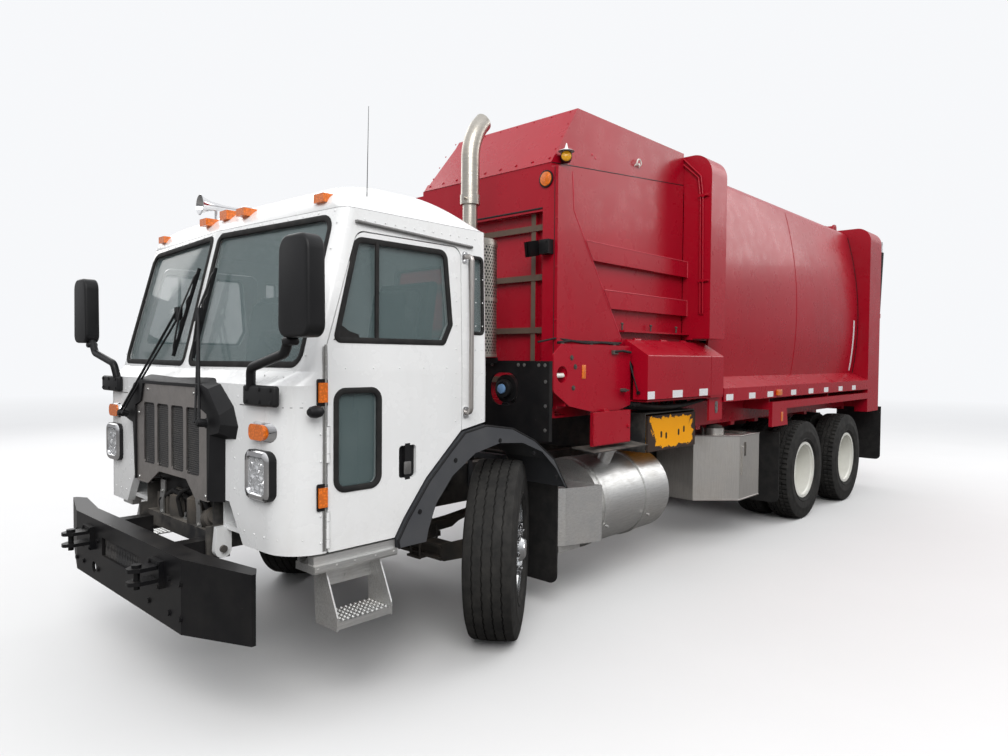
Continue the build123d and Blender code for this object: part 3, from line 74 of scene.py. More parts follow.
def set_camera():
    """Camera fitted to the photograph."""
    yaw, pitch, roll = [radians(a) for a in CAMERA_TURN]
    look = Vector((cos(pitch) * cos(yaw), cos(pitch) * sin(yaw), sin(pitch)))
    right = look.cross(Vector((0, 0, 1))).normalized()
    up = right.cross(look)
    side = right * cos(roll) + up * sin(roll)
    top = up * cos(roll) - right * sin(roll)
    cam = bpy.data.cameras.new("camera")
    cam.sensor_width = 36.0
    cam.lens = CAMERA_LENS
    cam.clip_start, cam.clip_end = 0.05, 200.0
    obj = bpy.data.objects.new("camera", cam)
    obj.matrix_world = Matrix.Translation((CAMERA_AT[0] + SHIFT, *CAMERA_AT[1:])) @ Matrix(
        ((side.x, top.x, -look.x), (side.y, top.y, -look.y), (side.z, top.z, -look.z))).to_4x4()
    bpy.context.scene.collection.objects.link(obj)
    bpy.context.scene.camera = obj
    bpy.context.scene.view_settings.view_transform = "Standard"


def set_world():
    """Even overcast light, seen as a pale backdrop."""
    world = bpy.data.worlds.new("studio")
    bpy.context.scene.world = world
    world.use_nodes = True
    tree = world.node_tree
    tree.nodes.clear()
    kinds = ("OutputWorld", "MixShader", "Background", "Background", "LightPath", "TexCoord", "SeparateXYZ")
    out, mix, lit, seen, path, coord, split = [tree.nodes.new("ShaderNode" + kind) for kind in kinds]
    ramp = tree.nodes.new("ShaderNodeValToRGB")
    low, high = ramp.color_ramp.elements
    low.position, low.color = 0.0, (0.3, 0.3, 0.31, 1)
    high.position, high.color = 0.6, (0.97, 0.98, 1.0, 1)
    lit.inputs[1].default_value = DAYLIGHT
    seen.inputs[0].default_value = BACKDROP
    for a, b in ((coord.outputs["Generated"], split.inputs[0]), (split.outputs["Z"], ramp.inputs[0]),
                 (ramp.outputs[0], lit.inputs[0]), (path.outputs["Is Camera Ray"], mix.inputs[0]),
                 (lit.outputs[0], mix.inputs[1]), (seen.outputs[0], mix.inputs[2]),
                 (mix.outputs[0], out.inputs[0])):
        tree.links.new(a, b)


def set_lights():
    """Three large soft lamps."""
    for name, place, target, size, power in (
            ("key", (9.5, 8.0, 9.0), (0.5, 0.0, 1.5), 7.0, 950.0),
            ("back", (-9.0, 6.0, 8.0), (-1.0, 0.0, 1.5), 7.0, 350.0),
            ("right", (2.0, -11.0, 8.0), (0.0, 0.0, 1.5), 8.0, 350.0)):
        data = bpy.data.lights.new(name, "AREA")
        data.shape = "SQUARE"
        data.size = size
        data.energy = power
        data.color = (1.0, 0.99, 0.97)
        obj = bpy.data.objects.new(name, data)
        obj.location = place
        obj.rotation_euler = (Vector(target) - Vector(place)).to_track_quat("-Z", "Y").to_euler()
        bpy.context.scene.collection.objects.link(obj)


def set_floor():
    """Plain pale ground under the wheels."""
    mesh = bpy.data.meshes.new("floor")
    bm = bmesh.new()
    bmesh.ops.create_grid(bm, x_segments=8, y_segments=8, size=FLOOR_HALF)
    bm.to_mesh(mesh)
    bm.free()
    mesh.materials.append(floor_paint())
    obj = bpy.data.objects.new("floor", mesh)
    bpy.context.scene.collection.objects.link(obj)


# materials

class Paint:
    """A material under construction: the principled shader and short calls for the nodes behind it."""

    def __init__(self, name):
        self.material = bpy.data.materials.new(name)
        self.material.use_nodes = True
        self.tree = self.material.node_tree
        self.tree.nodes.clear()
        self.out = self.add("OutputMaterial")
        self.shader = self.add("BsdfPrincipled")
        self.join(self.shader.outputs[0], self.out.inputs[0])
        self.coord = self.add("TexCoord").outputs["Object"]

    def add(self, kind, **values):
        node = self.tree.nodes.new("ShaderNode" + kind)
        for key, value in values.items():
            setattr(node, key, value)
        return node

    def join(self, a, b):
        self.tree.links.new(a, b)

    def put(self, socket, value):
        """Links a socket, or sets its value."""
        if isinstance(value, bpy.types.NodeSocket):
            self.join(value, socket)
        else:
            socket.default_value = value

    def set(self, **values):
        for key, value in values.items():
            self.put(self.shader.inputs[key.replace("_", " ")], value)

    def stretched(self, scale):
        node = self.add("Mapping")
        node.inputs["Scale"].default_value = scale
        self.join(self.coord, node.inputs["Vector"])
        return node.outputs[0]

    def noise(self, scale, detail=4.0, rough=0.55, coord=None, warp=0.0):
        node = self.add("TexNoise")
        self.put(node.inputs["Vector"], coord or self.coord)
        node.inputs["Scale"].default_value = scale
        node.inputs["Detail"].default_value = detail
        node.inputs["Roughness"].default_value = rough
        node.inputs["Distortion"].default_value = warp
        return node.outputs["Fac"]

    def cells(self, scale, feature="F1"):
        node = self.add("TexVoronoi", feature=feature)
        self.join(self.coord, node.inputs["Vector"])
        node.inputs["Scale"].default_value = scale
        return node.outputs["Distance"]

    def ramp(self, fac, low, high, a=0.0, b=1.0):
        """Maps fac from low..high to a..b, clamped."""
        node = self.add("MapRange")
        node.clamp = True
        self.put(node.inputs["Value"], fac)
        for key, value in (("From Min", low), ("From Max", high), ("To Min", a), ("To Max", b)):
            node.inputs[key].default_value = value
        return node.outputs[0]

    def math(self, kind, a, b=0.0):
        node = self.add("Math", operation=kind)
        self.put(node.inputs[0], a)
        self.put(node.inputs[1], b)
        return node.outputs[0]

    def times(self, a, b):
        return self.math("MULTIPLY", a, b)

    def plus(self, a, b):
        return self.math("ADD", a, b)

    def blend(self, fac, a, b):
        node = self.add("Mix", data_type="RGBA")
        self.put(node.inputs["Factor"], fac)
        self.put(node.inputs[6], tuple(a) + (1,) if isinstance(a, tuple) else a)
        self.put(node.inputs[7], tuple(b) + (1,) if isinstance(b, tuple) else b)
        return node.outputs[2]

    def axis(self, name):
        node = self.add("SeparateXYZ")
        self.join(self.coord, node.inputs[0])
        return node.outputs[name]

    def facing(self, name):
        """Component of the surface normal."""
        node = self.add("SeparateXYZ")
        self.join(self.add("NewGeometry").outputs["Normal"], node.inputs[0])
        return node.outputs[name]

    def bump(self, height, strength, distance=0.002):
        node = self.add("Bump")
        self.put(node.inputs["Height"], height)
        node.inputs["Strength"].default_value = strength
        node.inputs["Distance"].default_value = distance
        self.join(node.outputs[0], self.shader.inputs["Normal"])


def paint(name, colour, shade, dust, dust_colour=(0.32, 0.29, 0.25), rough=0.22, coat=0.5, low=1.15,
          peel=0.15, shine=0.5):
    """Gloss paint: slow colour drift, rain streaks, road film that thickens downward, fine orange peel."""
    p = Paint(name)
    drift = p.ramp(p.noise(0.9, 3.0), 0.3, 0.7)
    base = p.blend(drift, colour, shade)
    streak = p.ramp(p.noise(3.0, 5.0, 0.6, p.stretched((3.0, 3.0, 0.22))), 0.5, 0.8)
    film = p.ramp(p.axis("Z"), low, 0.35, 0.0, 1.0)
    patch = p.ramp(p.noise(5.0, 8.0, 0.65), 0.35, 0.75)
    dirt = p.times(p.plus(p.times(film, patch), p.times(streak, 0.3)), dust)
    top = p.times(p.ramp(p.facing("Z"), 0.6, 1.0), p.times(patch, dust * 0.7))
    dirt = p.math("MINIMUM", p.plus(dirt, top), 0.9)
    speck = p.times(p.ramp(p.cells(60.0), 0.1, 0.04), p.ramp(p.noise(2.0), 0.5, 0.75, 0.0, dust))
    dirt = p.math("MAXIMUM", dirt, p.times(speck, 0.5))
    p.set(Base_Color=p.blend(dirt, base, dust_colour),
          Roughness=p.plus(p.ramp(p.noise(7.0, 6.0), 0.3, 0.7, rough - 0.05, rough + 0.08),
            p.times(dirt, 0.4)))
    p.set(Specular_IOR_Level=shine, Coat_Weight=coat, Coat_Roughness=0.06)
    p.bump(p.noise(240.0, 2.0), peel, 0.0004)
    return p.material


def white_paint():
    """White cab paint with faint rain streaks and road film low down."""
    p = Paint("white_paint")
    streak = p.ramp(p.noise(3.2, 5.0, 0.6, p.stretched((3.0, 3.0, 0.2))), 0.52, 0.82)
    film = p.ramp(p.axis("Z"), 1.1, 0.45)
    patch = p.ramp(p.noise(6.0, 8.0, 0.65), 0.35, 0.75)
    dirt = p.plus(p.times(film, p.times(patch, 0.45)), p.times(streak, 0.1))
    base = p.blend(p.ramp(p.noise(1.2, 3.0), 0.3, 0.7), (0.86, 0.865, 0.865), (0.8, 0.81, 0.815))
    p.set(Base_Color=p.blend(dirt, base, (0.42, 0.39, 0.34)),
          Roughness=p.plus(p.ramp(p.noise(8.0, 6.0), 0.3, 0.7, 0.2, 0.32), p.times(dirt, 0.5)))
    p.set(Coat_Weight=0.4, Coat_Roughness=0.08)
    p.bump(p.noise(200.0, 2.0), 0.12, 0.0004)
    return p.material


def black_metal(name, colour=(0.018, 0.018, 0.02), rough=0.38, dust=0.5, dust_colour=(0.2, 0.18, 0.155),
                shine=0.5):
    """Dusty satin black paint with chips and scuffs."""
    p = Paint(name)
    p.set(Specular_IOR_Level=shine)
    patch = p.ramp(p.noise(4.0, 9.0, 0.68), 0.42, 0.78, 0.0, dust)
    up = p.times(p.ramp(p.facing("Z"), 0.3, 1.0), dust)
    dirt = p.math("MINIMUM", p.plus(patch, p.times(up, p.ramp(p.noise(9.0, 6.0), 0.35, 0.7))), 0.85)
    chip = p.ramp(p.noise(34.0, 5.0, 0.7, warp=0.6), 0.68, 0.72, 0.0, 0.35)
    base = p.blend(chip, p.blend(dirt, colour, dust_colour), (0.11, 0.095, 0.08))
    p.set(Base_Color=base, Roughness=p.plus(p.times(dirt, 0.4), rough))
    p.bump(p.noise(90.0, 4.0), 0.25, 0.0006)
    return p.material


def metal(name, colour, rough, stain=0.3, stain_colour=(0.22, 0.17, 0.12), grain=(1.0, 1.0, 60.0), bump=0.12):
    """Bare metal with a drawn grain, dull patches and brown road stains."""
    p = Paint(name)
    lines = p.noise(9.0, 5.0, 0.7, p.stretched(grain))
    spots = p.ramp(p.noise(3.4, 9.0, 0.66, warp=0.5), 0.48, 0.74, 0.0, stain)
    shade = p.blend(p.ramp(lines, 0.35, 0.65), colour, tuple(c * 0.78 for c in colour))
    p.set(Base_Color=p.blend(spots, shade, stain_colour),
          Metallic=p.math("SUBTRACT", 1.0, p.times(spots, 0.6)),
          Roughness=p.plus(p.ramp(lines, 0.3, 0.7, rough - 0.06, rough + 0.1), p.times(spots, 0.35)))
    p.bump(lines, bump, 0.0006)
    return p.material


def rubber(name, colour=(0.022, 0.022, 0.023), dust=0.55):
    """Worn rubber with dry road dust in its grain."""
    p = Paint(name)
    p.set(Specular_IOR_Level=0.22)
    dirt = p.ramp(p.noise(11.0, 9.0, 0.7), 0.4, 0.75, 0.05, dust)
    p.set(Base_Color=p.blend(dirt, colour, (0.105, 0.098, 0.088)),
          Roughness=p.ramp(p.noise(14.0, 5.0), 0.3, 0.7, 0.66, 0.86))
    p.bump(p.noise(160.0, 5.0, 0.7), 0.35, 0.0008)
    return p.material


def plastic(name, colour=(0.008, 0.008, 0.009), rough=0.42, dust=0.06, grain=420.0, shine=0.24):
    """Moulded plastic: fine leather grain, sun-greyed patches and dust."""
    p = Paint(name)
    grey = p.ramp(p.noise(3.0, 7.0, 0.6), 0.38, 0.72, 0.0, dust)
    p.set(Specular_IOR_Level=shine)
    p.set(Base_Color=p.blend(grey, colour, (0.12, 0.118, 0.115)), Roughness=p.plus(p.times(grey, 0.6), rough))
    p.bump(p.cells(grain), 0.22, 0.0004)
    return p.material


def lens(name, colour, rough=0.12, glow=0.0):
    """Moulded lamp lens with small prisms under a gloss face."""
    p = Paint(name)
    p.set(Base_Color=p.blend(p.ramp(p.cells(90.0), 0.0, 0.6), colour, tuple(c * 0.55 for c in colour)),
          Roughness=p.ramp(p.noise(20.0, 3.0), 0.3, 0.7, rough, rough + 0.1))
    p.set(Coat_Weight=0.8, Coat_Roughness=0.03, Emission_Color=tuple(colour) + (1,), Emission_Strength=glow)
    p.bump(p.cells(90.0), 0.5, 0.002)
    return p.material


def glass(name, colour, alpha, film=0.08):
    """Tinted glass with a thin dust film."""
    p = Paint(name)
    haze = p.ramp(p.noise(3.0, 7.0, 0.62, warp=0.4), 0.45, 0.8, 0.0, film)
    p.set(Base_Color=p.blend(haze, colour, (0.45, 0.45, 0.43)), Alpha=p.plus(haze, alpha),
          Roughness=p.ramp(haze, 0.0, film, 0.02, 0.14))
    p.set(Specular_IOR_Level=0.9, IOR=1.52)
    p.bump(p.noise(1.5, 2.0), 0.03, 0.004)
    return p.material


def yellow_paint():
    """Yellow paint, worn to dark primer in flakes and all round the tail plate's edge."""
    p = Paint("yellow_paint")
    p.set(Specular_IOR_Level=0.2)
    across = p.math("DIVIDE", p.math("ABSOLUTE", p.math("SUBTRACT", p.axis("X"), SHIFT - 1.965)), 0.37)
    down = p.math("DIVIDE", p.math("ABSOLUTE", p.math("SUBTRACT", p.axis("Z"), 1.125)), 0.137)
    rim = p.times(p.ramp(p.math("MAXIMUM", across, down), 0.62, 1.04), p.ramp(p.axis("Y"), 1.094, 1.099))
    flake = p.ramp(p.plus(p.noise(9.0, 7.0, 0.62, warp=0.8), p.times(rim, 0.42)), 0.7, 0.72)
    yellow = p.blend(p.noise(5.0), (0.98, 0.42, 0.002), (0.9, 0.35, 0.002))
    p.set(Base_Color=p.blend(flake, yellow, (0.05, 0.034, 0.028)),
          Roughness=p.ramp(flake, 0.0, 1.0, 0.42, 0.8))
    p.bump(flake, -0.5, 0.001)
    return p.material


def fabric(name, colour):
    """Woven seat cloth."""
    p = Paint(name)
    weave = p.times(p.math("SINE", p.times(p.axis("X"), 1800.0)),
                    p.math("SINE", p.times(p.axis("Z"), 1800.0)))
    p.set(Base_Color=p.blend(p.ramp(p.noise(30.0, 6.0), 0.3, 0.7), colour, tuple(c * 1.6 for c in colour)),
          Roughness=p.ramp(p.noise(40.0), 0.3, 0.7, 0.8, 0.95))
    p.set(Sheen_Weight=0.25)
    p.bump(weave, 0.3, 0.0006)
    return p.material


def tape():
    """White retroreflective tape with a fine hexagon pattern."""
    p = Paint("reflective_tape")
    cell = p.cells(170.0, feature="DISTANCE_TO_EDGE")
    p.set(Base_Color=p.blend(p.ramp(cell, 0.0, 0.06), (0.62, 0.62, 0.62), (0.8, 0.8, 0.82)),
          Roughness=p.ramp(p.noise(9.0, 4.0), 0.3, 0.7, 0.25, 0.45))
    p.bump(cell, 0.2, 0.0005)
    return p.material


def floor_paint():
    """Plain pale ground that runs out into the backdrop's colour."""
    p = Paint("floor")
    pale = p.blend(p.noise(0.6, 6.0), (0.7, 0.7, 0.7), (0.75, 0.75, 0.75))
    seen = p.add("LightPath").outputs["Is Camera Ray"]
    p.set(Base_Color=p.blend(seen, (0.16, 0.155, 0.15), pale),
          Roughness=p.ramp(p.noise(3.0), 0.3, 0.7, 0.85, 0.95))
    p.bump(p.noise(60.0, 4.0), 0.1, 0.002)
    away = p.add("VectorMath", operation="LENGTH")
    p.join(p.coord, away.inputs[0])
    glow = p.add("Emission")
    glow.inputs[0].default_value = BACKDROP
    mix = p.add("MixShader")
    p.join(p.times(p.ramp(away.outputs["Value"], FADE_FROM, FADE_TO), seen), mix.inputs[0])
    p.join(p.shader.outputs[0], mix.inputs[1])
    p.join(glow.outputs[0], mix.inputs[2])
    p.join(mix.outputs[0], p.out.inputs[0])
    return p.material


MATERIALS = {
    "white_paint": white_paint(),
    "red_paint": paint("red_paint", (0.39, 0.002, 0.016), (0.33, 0.002, 0.013), 0.05, rough=0.28, coat=0.08,
                       low=1.6, shine=0.3),
    "black_steel": black_metal("black_steel", (0.006, 0.006, 0.007), 0.34, 0.06, shine=0.22),
    "frame_black": black_metal("frame_black", colour=(0.02, 0.02, 0.021), rough=0.5, dust=0.75),
    "black_plastic": plastic("black_plastic"),
    "stainless": metal("stainless", (0.53, 0.5, 0.48), 0.36, 0.2, grain=(40.0, 1.0, 1.0)),
    "aluminium": metal("aluminium", (0.74, 0.74, 0.73), 0.42, 0.35, grain=(1.0, 12.0, 12.0)),
    "exhaust_steel": metal("exhaust_steel", (0.52, 0.49, 0.44), 0.3, 0.35, (0.3, 0.24, 0.17),
                           (1.0, 1.0, 14.0)),
    "white_rim": paint("white_rim", (0.8, 0.8, 0.75), (0.74, 0.74, 0.69), 0.25, (0.36, 0.32, 0.27), 0.4,
                       0.1, 1.2, 0.3),
    "alloy_rim": metal("alloy_rim", (0.66, 0.67, 0.68), 0.2, 0.2, grain=(3.0, 3.0, 3.0)),
    "tyre": rubber("tyre", (0.012, 0.012, 0.012), 0.28),
    "rubber": rubber("rubber", (0.01, 0.01, 0.011), 0.22),
    "cast": black_metal("cast", (0.045, 0.042, 0.038), 0.6, 0.85, (0.15, 0.125, 0.1)),
    "chrome_rod": metal("chrome_rod", (0.72, 0.73, 0.75), 0.1, 0.1),
    "yellow_paint": yellow_paint(),
    "glass": glass("glass", (0.15, 0.215, 0.22), 0.38),
    "lens_amber": lens("lens_amber", (0.92, 0.2, 0.01), glow=0.12),
    "interior": plastic("interior", (0.04, 0.04, 0.043), 0.6, 0.2, 300.0),
    "seat_vinyl": plastic("seat_vinyl", (0.02, 0.02, 0.022), 0.5, 0.2, 500.0),
}
RUBBER = MATERIALS["rubber"]
CHROME = metal("chrome", (0.78, 0.78, 0.79), 0.08, 0.12)
LENS_CLEAR = glass("lens_clear", (0.8, 0.82, 0.84), 0.2, 0.04)
LENS_RED = lens("lens_red", (0.5, 0.008, 0.008), glow=0.05)
SEAT_CLOTH = fabric("seat_cloth", (0.03, 0.03, 0.034))
TAPE = tape()
GALV = metal("galvanised", (0.5, 0.5, 0.49), 0.45, 0.35, grain=(4.0, 4.0, 4.0))
BLACK = MATERIALS["black_plastic"]
LENS_YELLOW = lens("lens_yellow", (0.95, 0.46, 0.01), glow=0.15)
CAP_BLUE = plastic("cap_blue", (0.16, 0.3, 0.52), 0.35, 0.15)
WORN = black_metal("worn_steel", (0.09, 0.055, 0.038), 0.62, 0.8, (0.155, 0.115, 0.08))
GREY = metal("dull_grey", (0.3, 0.3, 0.3), 0.5, 0.3, grain=(3.0, 3.0, 3.0))
NET = black_metal("grille_net", (0.05, 0.05, 0.052), 0.45, 0.3)
# Lighter red than the red paint: a painted highlight for the hopper's edges that catch the light.
HIGHLIGHT_RED = paint("red_painted_highlight", (0.62, 0.07, 0.1), (0.52, 0.045, 0.07), 0.05, rough=0.35, coat=0.0, low=1.6,
             shine=0.4)
OWN_LOOK = {
    "front_fenders": plastic("fender_plastic", (0.05, 0.053, 0.06), 0.3, 0.3, 300.0, 0.6),
    "hydraulic_tank": metal("tank_sheet", (0.68, 0.66, 0.63), 0.42, 0.34, grain=(34.0, 34.0, 0.8)),
}


def dress_frame():
    """Gives every CAD node its own look or its slot's."""
    for part in frame["record"]["subparts"]:
        obj = frame["nodes"][part["node"]]
        obj.data.materials.clear()
        obj.data.materials.append(OWN_LOOK.get(part["node"], MATERIALS[part["material_slot"]]))


# making pieces: coordinates are metres in the working frame

X, Y, Z = (1, 0, 0), (0, 1, 0), (0, 0, 1)
SIDES = (("left", 1), ("right", -1))
TINY = 0.0001
BOX_FACES = [(0, 1, 3, 2), (4, 6, 7, 5), (0, 4, 5, 1), (2, 3, 7, 6), (0, 2, 6, 4), (1, 5, 7, 3)]
STRIP_EDGE = ((1, 0.55), (0.75, 1), (-0.75, 1), (-1, 0.55), (-1, -0.55), (-0.75, -1), (0.75, -1), (1, -0.55))


def angles(count, shift=0.0):
    return [2 * pi * (k + shift) / count for k in range(count)]


def across(axis):
    """Two directions square to an axis, with the axis itself."""
    z = Vector(axis).normalized()
    x = z.orthogonal().normalized()
    return x, z.cross(x), z


def ring_faces(rows, n, closed=False):
    """Quads between successive rings of n points."""
    faces = []
    for i in range(rows if closed else rows - 1):
        j = (i + 1) % rows
        faces += [(i * n + k, i * n + (k + 1) % n, j * n + (k + 1) % n, j * n + k) for k in range(n)]
    return faces


def end_faces(rows, n):
    return [tuple(range(n))[::-1], tuple(range((rows - 1) * n, rows * n))]


def tangents(pts, closed=False):
    n, out = len(pts), []
    for i in range(n):
        a = pts[i - 1] if i or closed else pts[0]
        b = pts[(i + 1) % n] if i < n - 1 or closed else pts[-1]
        out.append((b - a).normalized())
    return out


class Parts:
    """Points and faces gathered from several simple forms, to become one piece."""

    def __init__(self):
        self.verts, self.faces = [], []

    def add(self, verts, faces):
        n = len(self.verts)
        self.verts += [tuple(v) for v in verts]
        self.faces += [tuple(i + n for i in f) for f in faces]
        return self

    def block(self, x0, x1, y0, y1, z0, z1):
        return self.add([(x, y, z) for x in (x0, x1) for y in (y0, y1) for z in (z0, z1)], BOX_FACES)

    def prism(self, axis, pts, w0, w1):
        """Flat outline drawn out along x, y or z from w0 to w1."""
        place = {"x": lambda u, v, w: (w, u, v), "y": lambda u, v, w: (u, w, v), "z": lambda u, v,
                 w: (u, v, w)}[axis]
        n = len(pts)
        return self.add([place(a, b, w) for w in (w0, w1) for a, b in pts],
                        end_faces(2, n) + ring_faces(2, n))

    def rod(self, p, q, r, sides=12, r2=None):
        """Round or sided bar from p to q, to radius r2 at q where it is given."""
        p, q = Vector(p), Vector(q)
        x, y, _ = across(q - p)
        ring = [x * cos(a) + y * sin(a) for a in angles(sides)]
        v = [p + d * r for d in ring] + [q + d * (r if r2 is None else r2) for d in ring]
        return self.add(v, ring_faces(2, sides) + end_faces(2, sides))

    def lathe(self, profile, centre, axis, sides=48):
        """Turns (radius, height) points about an axis through centre; a radius of 0 stands for a tiny one."""
        c, n, v, f = Vector(centre), len(profile), [], []
        x, y, z = across(axis)
        for a in angles(sides):
            d = x * cos(a) + y * sin(a)
            v += [c + d * (r or TINY) + z * h for r, h in profile]
        for k in range(sides):
            m = (k + 1) % sides
            f += [(k * n + i, k * n + i + 1, m * n + i + 1, m * n + i) for i in range(n - 1)]
        return self.add(v, f)

    def sweep(self, path, r, sides=10, closed=False):
        """Tube along a path."""
        pts, v = [Vector(p) for p in path], []
        ways = tangents(pts, closed)
        up = ways[0].orthogonal().normalized()
        for p, t in zip(pts, ways):
            up = (up - t * up.dot(t)).normalized()
            other = t.cross(up)
            v += [p + (up * cos(a) + other * sin(a)) * r for a in angles(sides)]
        ends = [] if closed else end_faces(len(pts), sides)
        return self.add(v, ring_faces(len(pts), sides, closed) + ends)

    def strip(self, path, half, thick, toward):
        """Flat strip along a path: half its width, measured toward a direction, and half its thickness."""
        pts, v = [Vector(p) for p in path], []
        for p, t in zip(pts, tangents(pts)):
            side = Vector(toward)
            side = (side - t * side.dot(t)).normalized()
            other = t.cross(side)
            v += [p + side * (half * a) + other * (thick * b) for a, b in STRIP_EDGE]
        return self.add(v, ring_faces(len(pts), 8) + end_faces(len(pts), 8))

    def bolt(self, p, axis, r=0.009, h=0.006, washer=True):
        """Hexagon head on a washer."""
        p, a = Vector(p), Vector(axis).normalized()
        if washer:
            self.rod(p - a * 0.002, p + a * 0.0015, r * 1.5, 14)
        return self.rod(p, p + a * h, r, 6)

    def rivet(self, p, axis, r=0.006):
        return self.lathe([(r, -0.0005), (r * 0.8, r * 0.35), (r * 0.4, r * 0.5), (0.00001, r * 0.55)], p,
                          axis, 8)

    def mirrored(self):
        """The same forms on the other side as well."""
        return self.add([(a, -b, c) for a, b, c in list(self.verts)],
                        [tuple(reversed(g)) for g in self.faces])

    def make(self, name, slot, body="chassis", look=None, sharp=40, bevel=0.0, steps=2):
        """Mesh object that rides a body, with sharp edges marked by angle and an optional bevel."""
        mesh = bpy.data.meshes.new(name)
        mesh.from_pydata([(v[0] + SHIFT, v[1], v[2]) for v in self.verts], [], self.faces)
        bm = bmesh.new()
        bm.from_mesh(mesh)
        bmesh.ops.remove_doubles(bm, verts=bm.verts, dist=1e-6)
        bmesh.ops.recalc_face_normals(bm, faces=bm.faces)
        if bevel:
            edges = [e for e in bm.edges if len(e.link_faces) == 2 and e.calc_face_angle(0) > radians(sharp)]
            bmesh.ops.bevel(bm, geom=edges, offset=bevel, segments=steps, profile=0.5, affect="EDGES",
                            clamp_overlap=True)
        for face in bm.faces:
            face.smooth = True
        for edge in bm.edges:
            if len(edge.link_faces) == 2 and edge.calc_face_angle(0) > radians(sharp):
                edge.smooth = False
        bm.to_mesh(mesh)
        bm.free()
        mesh.materials.append(look or MATERIALS[slot])
        obj = bpy.data.objects.new(name, mesh)
        bpy.context.scene.collection.objects.link(obj)
        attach(obj, body)
        return obj


def rounded(pts, steps=6):
    """Flat outline with arcs at corners whose point has a third number, its radius."""
    out, n = [], len(pts)
    for i, pt in enumerate(pts):
        if len(pt) < 3 or not pt[2]:
            out.append((pt[0], pt[1]))
            continue
        p, a, b = Vector(pt[:2]), Vector(pts[i - 1][:2]), Vector(pts[(i + 1) % n][:2])
        da, db = (a - p).normalized(), (b - p).normalized()
        half = da.angle(db) / 2
        reach = pt[2] / max(1e-6, sin(half)) * cos(half)
        mid = p + (da + db).normalized() * (pt[2] / sin(half))
        s, e = p + da * reach - mid, p + db * reach - mid
        turn = s.angle_signed(e)
        for k in range(steps + 1):
            t = -turn * k / steps
            out.append((mid.x + s.x * cos(t) - s.y * sin(t), mid.y + s.x * sin(t) + s.y * cos(t)))
    return out


def rect(u0, v0, u1, v1, r, steps=6):
    """Rectangle between two opposite corners, its corners rounded to radius r."""
    return rounded([(u0, v0, r), (u1, v0, r), (u1, v1, r), (u0, v1, r)], steps)


def bent(path, r, steps=6):
    """Path in space with its corners rounded to radius r."""
    pts = [Vector(p) for p in path]
    out = [pts[0]]
    for a, p, b in zip(pts, pts[1:], pts[2:]):
        da, db = (a - p).normalized(), (b - p).normalized()
        half = da.angle(db) / 2
        reach = min(r / max(1e-4, sin(half)) * cos(half), (a - p).length * 0.48, (b - p).length * 0.48)
        s, e = p + da * reach, p + db * reach
        for k in range(steps + 1):
            t = k / steps
            out.append(s * (1 - t) ** 2 + p * 2 * t * (1 - t) + e * t ** 2)
    out.append(pts[-1])
    return out


def hung(a, b, sag, steps=18):
    """Line between two points that sags."""
    a, b, down = Vector(a), Vector(b), Vector((0, 0, -1))
    return [a.lerp(b, k / steps) + down * sag * 4 * (k / steps) * (1 - k / steps) for k in range(steps + 1)]


def mm(pts):
    return [tuple(c / 1000 for c in p) for p in pts]


# wheels

def tyre_parts(parts, r, w, centre, axis, tread, count):
    """Tyre skin: bead, ribbed sidewall, shoulder and a grooved tread; tread(u, k) gives (shift, depth)."""
    h = w / 2
    bead = 0.2858
    side = [(bead, -h * 0.72), (0.3007, -h * 0.75), (0.3075, -h * 0.86), (0.326, -h * 0.93),
            (0.33, -h * 0.965), (0.336, -h * 0.965), (0.34, -h * 0.94), (r * 0.7, -h * 0.985),
            (r * 0.76, -h * 0.995), (r * 0.765, -h), (r * 0.79, -h), (r * 0.795, -h * 0.99),
            (r * 0.87, -h * 0.97), (r - 0.03, -h * 0.92), (r - 0.012, -h * 0.875)]
    inner = [(bead, h * 0.55), (r * 0.66, h * 0.84), (r * 0.86, h * 0.84), (r - 0.036, h * 0.7),
             (r - 0.036, -h * 0.7), (r * 0.86, -h * 0.84), (r * 0.66, -h * 0.84), (bead, -h * 0.55)]
    c, verts, n = Vector(centre), [], 0
    x, y, z = across(axis)
    for k, a in enumerate(angles(count)):
        d = x * cos(a) + y * sin(a)
        ring = list(side)
        for u, groove in tread["across"]:
            shift, depth = tread["form"](u, groove, k)
            crown = 0.006 * (u / 0.8) ** 2
            ring.append((r - crown - depth, h * (u + shift)))
        ring += [(rr, -yy) for rr, yy in reversed(side)] + inner
        n = len(ring)
        verts += [c + d * rr + z * yy for rr, yy in ring]
    parts.add(verts, ring_faces(count, n, closed=True))


def groove_points(centres, half=0.03):
    """Stations across the tread: rib edges and groove floors."""
    out = [(-0.8, 0)]
    for c in centres:
        out += [(c - half, 0), (c - half * 0.7, 1), (c + half * 0.7, 1), (c + half, 0)]
    return out + [(0.8, 0)]


def rib_form(u, groove, k):
    """Steering tyre: four zigzag grooves between plain ribs."""
    zig = 0.014 * (1 if (k // 2) % 2 else -1) if abs(u) < 0.79 else 0.0
    return zig, 0.013 if groove else 0.0


def lug_form(u, groove, k):
    """Drive tyre: blocks parted by cross grooves, staggered either side of the middle."""
    zig = 0.02 * (1 if (k // 4) % 2 else -1) if abs(u) < 0.79 else 0.0
    cross = (k + (2 if u > 0 else 0)) % 4 == 0 and abs(u) > 0.2
    return zig, 0.016 if groove or cross else 0.0


STEER_TREAD = {"across": groove_points((-0.54, -0.18, 0.18, 0.54)), "form": rib_form}
DRIVE_TREAD = {"across": groove_points((-0.5, -0.17, 0.17, 0.5)), "form": lug_form}


